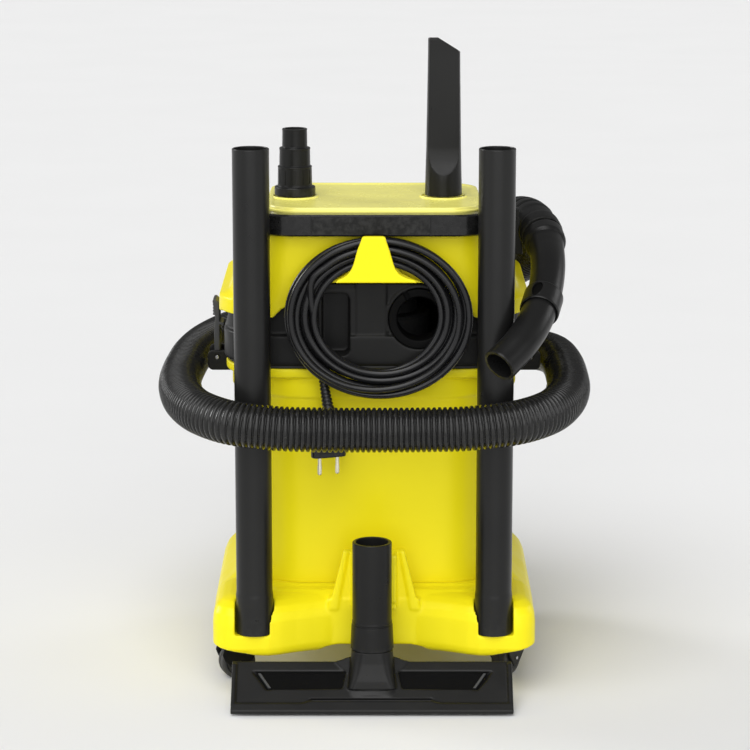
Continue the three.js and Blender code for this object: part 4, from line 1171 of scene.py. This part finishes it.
def make_grip():
    route = smooth_line(GRIP_ROUTE, TUBE_STEP)
    cuff = stretch(route, 0.012, 0.3)
    stops = [(0, 21.2), (0.015, 22.0)]
    for k in range(3):
        at = 0.10 + 0.17 * k
        stops += [(at, 22.0), (at + 0.012, 20.6), (at + 0.05, 20.4), (at + 0.062, 22.0)]
    stops += [(0.60, 22.0), (0.63, 21.0), (0.66, 20.7), (0.80, 20.6), (0.83, 22.0), (0.985, 22.0),
              (1, 21.2)]
    piece("hose_cuff_v", "head", "black",
          [sweep(cuff, pipe_profile(len(cuff), stops), 56, 19.2)], smooth_angle=40)

    handle = stretch(route, 0.26, 1)
    inside = pipe_profile(len(handle), [(0, 14.8), (1, 14.8)])
    stops = [(0, 17.4), (0.068, 17.4), (0.070, 21.0), (0.078, 21.6), (0.128, 21.6), (0.136, 21.0),
             (0.140, 18.6), (0.22, 17.9), (0.40, 17.6), (0.93, 17.6), (0.985, 17.9), (0.994, 18.0),
             (1.0, 17.5)]
    piece("curved_handle_v", "head", "satin",
          [sweep(handle, pipe_profile(len(handle), stops), 64, inside)], smooth_angle=34)

    at, axis = joint_place("air_ring_turn")
    profile = there_and_back([(18.8, -13), (19.4, -13), (20.0, -12.2), (20.2, -11)])
    sleeve = aimed(lathe(profile, 72, True), axis)
    piece("air_ring_v", "air_ring", "satin", [moved(sleeve, *at)], cuts=[almond(at, axis)],
          smooth_angle=36)
    seat = aimed(lathe(there_and_back([(17.2, -12), (18.4, -12)]), 72, True), axis)
    # A dark ring under the air ring: painted shade seen through the air slot.
    piece("air_ring_seat", "head", "painted_shade_black", [moved(seat, *at)], replaces=())


def make_clip():
    claw = slab([(142.5, 437), (127.4, 474.6), (127.4, 482), (144, 486), (152, 486), (156, 437)],
                -40, -26, "Y")
    way = sweep(stretch(smooth_line(GRIP_ROUTE, TUBE_STEP), 0.05, 0.6), 23, 40)
    piece("handle_clip_v", "head", "black", [claw], cuts=[way], voxel=0.8, rounds=4)


def almond(at, axis):
    """Cutter for the almond-shaped air slot, on the side of the ring that faces the back."""
    along = axis / np.linalg.norm(axis)
    outward = np.array((-0.35, -0.93, 0.10))
    outward = outward - (outward @ along) * along
    outward = outward / np.linalg.norm(outward)
    across = np.cross(along, outward)
    rings = []
    for height in (14.0, 26.0):
        points = []
        for k in range(28):
            angle = 2 * math.pi * k / 28
            wide = 5.4 * math.sin(angle) * (1 - 0.25 * math.cos(angle))
            points.append(at + wide * across + 11.0 * math.cos(angle) * along + height * outward)
        rings.append(np.array(points))
    return loft(rings)


def make_connector():
    line = smooth_line([(0, 127, INLET_Z), (0, 150, INLET_Z), (1, 172, INLET_Z), (8, 188, 288.2),
                        (22, 196, 288.6), (38.2, 197, 289)], TUBE_STEP)
    stops = [(0, 21.2), (0.02, 22), (0.2, 22), (0.205, 21.4), (0.215, 21.4), (0.22, 22), (0.66, 22),
             (0.67, 22.4), (0.69, 22.4), (0.70, 22.0), (0.78, 22.0), (0.79, 22.4), (0.82, 22.4),
             (0.83, 22.0), (0.9, 22.0), (0.91, 22.4), (0.985, 22.4), (1, 21.8)]
    elbow = sweep(line, pipe_profile(len(line), stops), 64, 18)
    collar = moved(to_y(ring(21, 27, 152, 157, 72, 1.2)), z=INLET_Z)
    wings = [moved(turned(block(-7, 7, 152.3, 156.7, 24, 30), "Y", turn), 0, 0, INLET_Z)
             for turn in (90, 270)]
    piece("hose_connector_v", "root", "black", [elbow, collar, *wings], smooth_angle=36)


# ---------- parked accessories ----------
def make_tubes():
    r, bore, top = TUBE_R, TUBE_R - 1.9, TUBE_LENGTH
    profile = [(bore, 0.8), (bore + 0.6, 0), (r + 0.2, 0), (r + 0.7, 0.6), (r + 0.7, 39),
               (r + 0.5, 41), (r, 45), (r, top - 0.9), (r - 0.25, top - 0.3), (r - 0.8, top),
               (bore + 0.5, top), (bore + 0.1, top - 0.4), (bore, top - 1.2)]
    for name, side in SIDES:
        tube = moved(lathe(profile, 96, True), side * TUBE_X, TUBE_Y, TUBE_BOTTOM_Z + GAP)
        piece(f"suction_tube_{name}_v", f"tube_{name}", "tube", [tube], smooth_angle=40)


CREVICE_AT = (CREVICE_X, TOOL_Y, 503.3)
ADAPTER_AT = (ADAPTER_X, TOOL_Y, 503.3)
CREVICE_HEIGHT = 162
CREVICE_WALL = 1.8


def flat_depth(z):
    """Half depth of the crevice nozzle: round at its foot, then scooped flat."""
    if z < 22:
        return 30.0
    if z < 52:
        t = (z - 22) / 30
        return 19.2 - 10.7 * (1 - (1 - t) ** 2.2)
    return 8.5 - 1.1 * (z - 52) / (CREVICE_HEIGHT - 52)


def make_crevice():
    heights = [0, 0.5, 1.2, 8, 16, 22, *np.arange(24, 53, 1.4), *np.linspace(55, 152, 24)[:-1]]

    def section(z, thin):
        radius = 19.3 - thin - 1.3 * min(z / 50, 1) - 1.5 * max(z - 50, 0) / 100
        radius -= 0.5 if z == 0 else 0
        deep = flat_depth(z) - thin
        ring_points = []
        for k in range(96):
            angle = 2 * math.pi * k / 96
            x, y = radius * math.cos(angle), radius * math.sin(angle)
            ring_points.append((x, max(-deep, min(deep, y)), z))
        return np.array(ring_points)

    def slanted(z, thin, below=0.0):
        """A ring at the slanted tip, or a little below it."""
        points = section(z, thin)
        points[:, 2] = CREVICE_HEIGHT - below - 0.62 * np.maximum(points[:, 0] + 6.2, 0)
        return points

    rings = [section(z, 0) for z in heights]
    rings += [slanted(149, 0, 0.6), slanted(152, 0.3), slanted(152, 1.5), slanted(149, 1.8, 0.6)]
    rings += [section(z, CREVICE_WALL) for z in reversed(heights)]
    shape = loft(rings, closed=True)
    piece("crevice_nozzle_v", "crevice_nozzle", "satin", [moved(shape, *CREVICE_AT)],
          smooth_angle=24)


def make_adapter():
    profile = [(10.0, 0.6), (10.6, 0), (20.7, 0), (21.2, 0.6), (21.2, 8.2), (20.6, 9), (18.3, 9.6),
               (18.0, 10.4), (18.0, 11.4), (17.8, 11.8), (17.6, 27.4), (17.4, 28.4), (17.7, 28.8),
               (17.7, 29.8), (17.2, 30.4), (16.3, 30.9), (16.1, 31.6), (15.8, 46.8), (16.1, 47.6),
               (16.1, 48.8), (15.6, 49.4), (13.6, 49.9), (13.1, 50.6), (12.8, 67.2), (13.1, 67.8),
               (13.0, 68.6), (12.5, 69), (10.6, 69), (10.1, 68.4)]
    body = lathe(profile, 80, True)
    notches = [turned(block(-1.1, 1.1, 17.2, 20, 12.2, 27), "Z", 30 * k) for k in range(12)]
    piece("tool_adapter_v", "tool_adapter", "satin", [moved(body, *ADAPTER_AT)],
          cuts=[moved(notch, *ADAPTER_AT) for notch in notches], smooth_angle=34)


# ---------- floor nozzle ----------
NOZZLE_X = -2
NOZZLE_PIPE_Y = -206
NOZZLE_HALF = 143
FACE_TOP = np.array((-199.6, 43.0))
FACE_BOTTOM = np.array((-247.5, 6.0))
FACE_DOWN = (FACE_BOTTOM - FACE_TOP) / np.linalg.norm(FACE_BOTTOM - FACE_TOP)
FACE_OUT = np.array((FACE_DOWN[1], -FACE_DOWN[0]))


def on_face(x, down, out):
    """A point over the slanted back of the nozzle head: down its slope, and out from it."""
    y, z = FACE_TOP + down * FACE_DOWN + out * FACE_OUT
    return (NOZZLE_X + x, y, z)


def face_slab(outline, out0, out1, shrink=None):
    """Closed shape over an outline in x and down, between two heights over the slope. shrink
    gives the outline at the deeper end."""
    a = np.array([on_face(x, d, out0) for x, d in (shrink or outline)])
    b = np.array([on_face(x, d, out1) for x, d in outline])
    return loft([a, b])


def make_nozzle_pipe():
    pipe = lathe([(16.5, 60.6), (17, 60), (21.5, 60), (22, 60.6), (21.9, 66), (21.1, 84),
                  (20.8, 85.2), (20.1, 85.6), (20.0, 86.6), (20.5, 87.2), (20.5, 89.0),
                  (20.0, 89.8), (20.0, 170.6), (19.7, 171.2), (19.2, 171.5), (17.2, 171.5),
                  (16.7, 171.1), (16.5, 170.4)], 96, True)
    tongue = [block(-7, 7, -190, LIP_BACK_Y, 104, 148),
              block(-14.2, 14.2, LIP_BACK_Y + GAP, -170, 104, 148),
              block(-7, 7, LIP_BACK_Y - 1, LIP_BACK_Y + 2, 104, 148)]
    piece("nozzle_pipe_v", "floor_nozzle", "satin",
          [moved(pipe, NOZZLE_X, NOZZLE_PIPE_Y), *tongue], smooth_angle=34)


def nozzle_funnel():
    """The spout that runs from the neck down the slope and widens."""
    rings = []
    for t in np.linspace(0, 1, 12):
        down = 3 + 40 * t
        width = 20 + 9.5 * max(t - 0.35, 0) / 0.65
        height = 17.5 * (1 - t) ** 1.25 + 4.2
        rings.append(np.array([
            on_face(width * math.cos(angle), down, -3 + height * math.sin(angle))
            for angle in np.linspace(0, math.pi, 25)]))
    return loft(rings)


def nozzle_shoulder(s):
    outline = [(s * 12, 0.5), (s * 42, 0.5), (s * 36, 8), (s * 22, 20), (s * 12, 20)]
    inner = [(s * 12, 0.5), (s * 24, 0.5), (s * 21, 4), (s * 17, 10), (s * 12, 12)]
    return face_slab(inner, -2, 9, outline)


def nozzle_pocket(s):
    """Cutter for the pocket beside the funnel."""
    top = [(s * 127, 12), (s * 26, 12), (s * 30, 34), (s * 108, 36)]
    deep = [(s * 118, 13), (s * 27, 13), (s * 31, 33), (s * 107, 34)]
    return face_slab(top, -5, 4, deep)


def line_pockets():
    """The floor of each pocket, a dark plate as painted shade, and the slanted rib at its far end,
    grey as a painted highlight.
    """
    for name, s in SIDES:
        floor = [(s * 117.5, 13.3), (s * 27.3, 13.3), (s * 31.3, 32.7), (s * 106.6, 33.7)]
        rib = [(s * 116.5, 14), (s * 113.5, 14), (s * 102.5, 32), (s * 105.5, 32)]
        # Dark plate in the pocket: painted shade.
        piece(f"nozzle_pocket_{name}", "floor_nozzle", "painted_shade_black", [face_slab(floor, -4.9, -4.2)],
              replaces=())
        # Grey rib, lighter than the satin nozzle: painted highlight of a lit chamfer.
        piece(f"nozzle_rib_{name}", "floor_nozzle", "grey", [face_slab(rib, -4.8, -1.2)],
              replaces=(), bevel=0.4)


def make_nozzle_head():
    half = NOZZLE_HALF
    section = [(-199.6, 43), (-198.2, 41.4), (-198.2, 30.2), (-221, 4), (-222, 3), (-244, 3),
               (-247.5, 6)]
    bar = slab(section, NOZZLE_X - half, NOZZLE_X + half, "X")
    lip_line = [(-half, 52), (-70, 52), (-64, 49.5), (62, 49.5), (68, 52), (half, 52), (half, 62.6),
                (-half, 62.6)]
    lip = face_slab(lip_line, -4, 1.6)
    end_ribs = [face_slab([(s * (half - 4.5), 3), (s * half, 3), (s * half, 60),
                           (s * (half - 4.5), 60)], -3, 1.4) for _, s in SIDES]
    neck = stack([level(24.5, (-232, -208), 23, 6), level(23.2, (-231, -204), 31, 9),
                  level(22.4, (-229, -199), 39, 12), level(21.8, (-227, -195), 48, 14),
                  level(21.2, (-226, -193.5), 56, 15.5),
                  level(21, (-225.5, -193.5), 59.7, 15.5)], 12)
    neck = moved(neck, NOZZLE_X)
    shoulders = [nozzle_shoulder(s) for _, s in SIDES]
    throat = moved(disc(14, 20, 70, 48), NOZZLE_X, NOZZLE_PIPE_Y - 4)
    channel = working_slab(-8, 8, -8, 4, -132, 132)
    pockets = [nozzle_pocket(s) for _, s in SIDES]
    slot = face_slab([(-66, 45.5), (64, 45.5), (58, 48.2), (-60, 48.2)], -3, 4)
    piece("nozzle_head_v", "floor_nozzle", "satin",
          [bar, lip, *end_ribs, neck, nozzle_funnel(), *shoulders],
          cuts=[throat, channel, *pockets, slot], voxel=0.9, rounds=3)


def make_nozzle_insert():
    strips = [working_slab(-12.5, -9.5, GAP, 5.3, -138, 138),
              working_slab(9.5, 12.5, GAP, 5.3, -138, 138),
              working_slab(-12.5, 12.5, GAP, 2.3, -138, -133),
              working_slab(-12.5, 12.5, GAP, 2.3, 133, 138)]
    piece("nozzle_insert_v", "floor_nozzle", "rubber", strips, bevel=0.4)


def working_face(along, outward):
    """A point on the nozzle's working face, in Y and Z, as far along it and out from it."""
    return (-209.3 + 0.656 * along + 0.754 * outward, 17.5 + 0.754 * along - 0.656 * outward)


def working_slab(a0, a1, o0, o1, x0, x1):
    corners = [working_face(a, o) for a, o in ((a0, o0), (a1, o0), (a1, o1), (a0, o1))]
    return slab(corners, NOZZLE_X + x0, NOZZLE_X + x1, "X")


# ---------- motor, fan and filter ----------
PLEATS = 48


def make_filter():
    rings = []
    count = PLEATS * 8
    for z in (249.5, 334.6):
        points = []
        for k in range(count):
            share = k / 8 % 1
            fold = 0.5 - 0.5 * math.cos(2 * math.pi * share)
            r = 46 + 13.5 * fold
            angle = 2 * math.pi * k / count
            points.append((r * math.cos(angle), r * math.sin(angle), z))
        rings.append(np.array(points))
    inner = [np.column_stack([32 * np.cos(a), 32 * np.sin(a), np.full(count, z)])
             for z in (334.6, 249.5) for a in [np.linspace(0, 2 * math.pi, count, endpoint=False)]]
    piece("cartridge_filter_v", "head", "paper", [loft([*rings, *inner], closed=True)],
          smooth_angle=50)
    rims = [(248, 250), (334.2, 336.1)]
    for k, (z0, z1) in enumerate(rims):
        piece(f"cartridge_rim_{k}", "head", "grey", [ring(29, 62, z0, z1, 80, 0.5)], replaces=())


def make_float():
    cage = lathe([(0, 247), (26.4, 247), (27, 247.6), (27, 336.4), (34, 336.4), (34, 339.1),
                  (24.5, 339.1), (24.5, 250), (0, 250)], 72)
    slots = [turned(block(-6, 6, -30, 30, z, z + 14), "Z", turn)
             for z in (262, 280, 298) for turn in (0, 36, 72, 108, 144)]
    piece("filter_cage_v", "head", "black", [cage], cuts=slots, smooth_angle=34)
    ball = [(0, -22)] + [(22 * math.sin(math.radians(a)), -22 * math.cos(math.radians(a)))
                         for a in range(6, 180, 6)] + [(0, 22)]
    seam = lathe([(21, -0.6), (22.3, -0.6), (22.3, 0.6), (21, 0.6)], 64, True)
    piece("float_ball_v", "float", "grey", [moved(lathe(ball, 64), z=272.6), moved(seam, z=272.6)])


def make_filter_lock():
    knob = lathe([(0, 238), (32.4, 238), (34, 239), (34, 245.6), (33, 246.6), (0, 246.6)], 96)
    scallops = [moved(disc(4, 236, 248, 24), 36.4 * math.cos(a), 36.4 * math.sin(a))
                for a in np.radians(np.arange(0, 360, 30))]
    bar = stack([level(23, 3, 226, 2), level(24, 4, 228, 3),
                 level(24, 4.4, 240, 3)], 6)
    piece("filter_lock_v", "filter_lock", "black", [knob, bar], cuts=scallops, smooth_angle=36)


def make_fan():
    housing = lathe([(57.5, 346.3), (59.4, 346.3), (60, 347), (60, 369), (57, 372), (9, 372),
                     (9, 369.5), (55.6, 369.5), (57.5, 367.4)], 96, True)
    piece("fan_housing_v", "head", "grey", [housing], smooth_angle=36)
    hub = lathe([(3.9, 349), (50, 349), (50, 350.6), (16, 351.4), (12, 356), (12, 364), (50, 364.4),
                 (50, 366), (3.9, 366)], 96, True)
    blades = []
    for k in range(8):
        path = [(14 + 34 * t, 16 * t * t, 357.7) for t in np.linspace(0, 1, 9)]
        wall = np.array([(x, y) for x, y, _ in path])
        outline = [(x, y) for x, y in wall + (0, 0.5)] + [(x, y) for x, y in wall[::-1] - (0, 0.5)]
        low = np.array([(x, y, 350.2) for x, y in outline])
        high = np.array([(x, y, 364.8) for x, y in outline])
        blades.append(turned(loft([low, high]), "Z", 45 * k))
    piece("impeller_v", "impeller", "steel", [hub, *blades], smooth_angle=36)


def make_motor():
    core = lathe([(0, 347), (3.3, 347), (3.3, 372.4), (44.6, 372.4), (46, 373.6), (46, 384),
                  (45, 385), (45, 396), (46, 397), (46, 434), (44.6, 437), (36, 446), (12, 446),
                  (11, 449), (0, 449)], 96)
    fins = [turned(block(43, 46.0, -1, 1, 398, 432), "Z", 15 * k) for k in range(24)]
    piece("motor_v", "head", "grey", [core], cuts=fins[::2], smooth_angle=36)


# ---------- everything ----------
make_camera()
make_looks()
make_stage()
make_cord()
make_gland()
make_hose()
make_container()
make_inlet()
make_base()
make_casters()
make_housing()
make_port()
make_seal()
make_cover()
make_deck()
make_cable_hook()
make_carry_handle()
make_knob()
make_latches()
make_grip()
make_clip()
make_connector()
make_tubes()
make_crevice()
make_adapter()
make_nozzle_pipe()
line_pockets()
make_nozzle_head()
make_nozzle_insert()
make_filter()
make_float()
make_filter_lock()
make_fan()
make_motor()
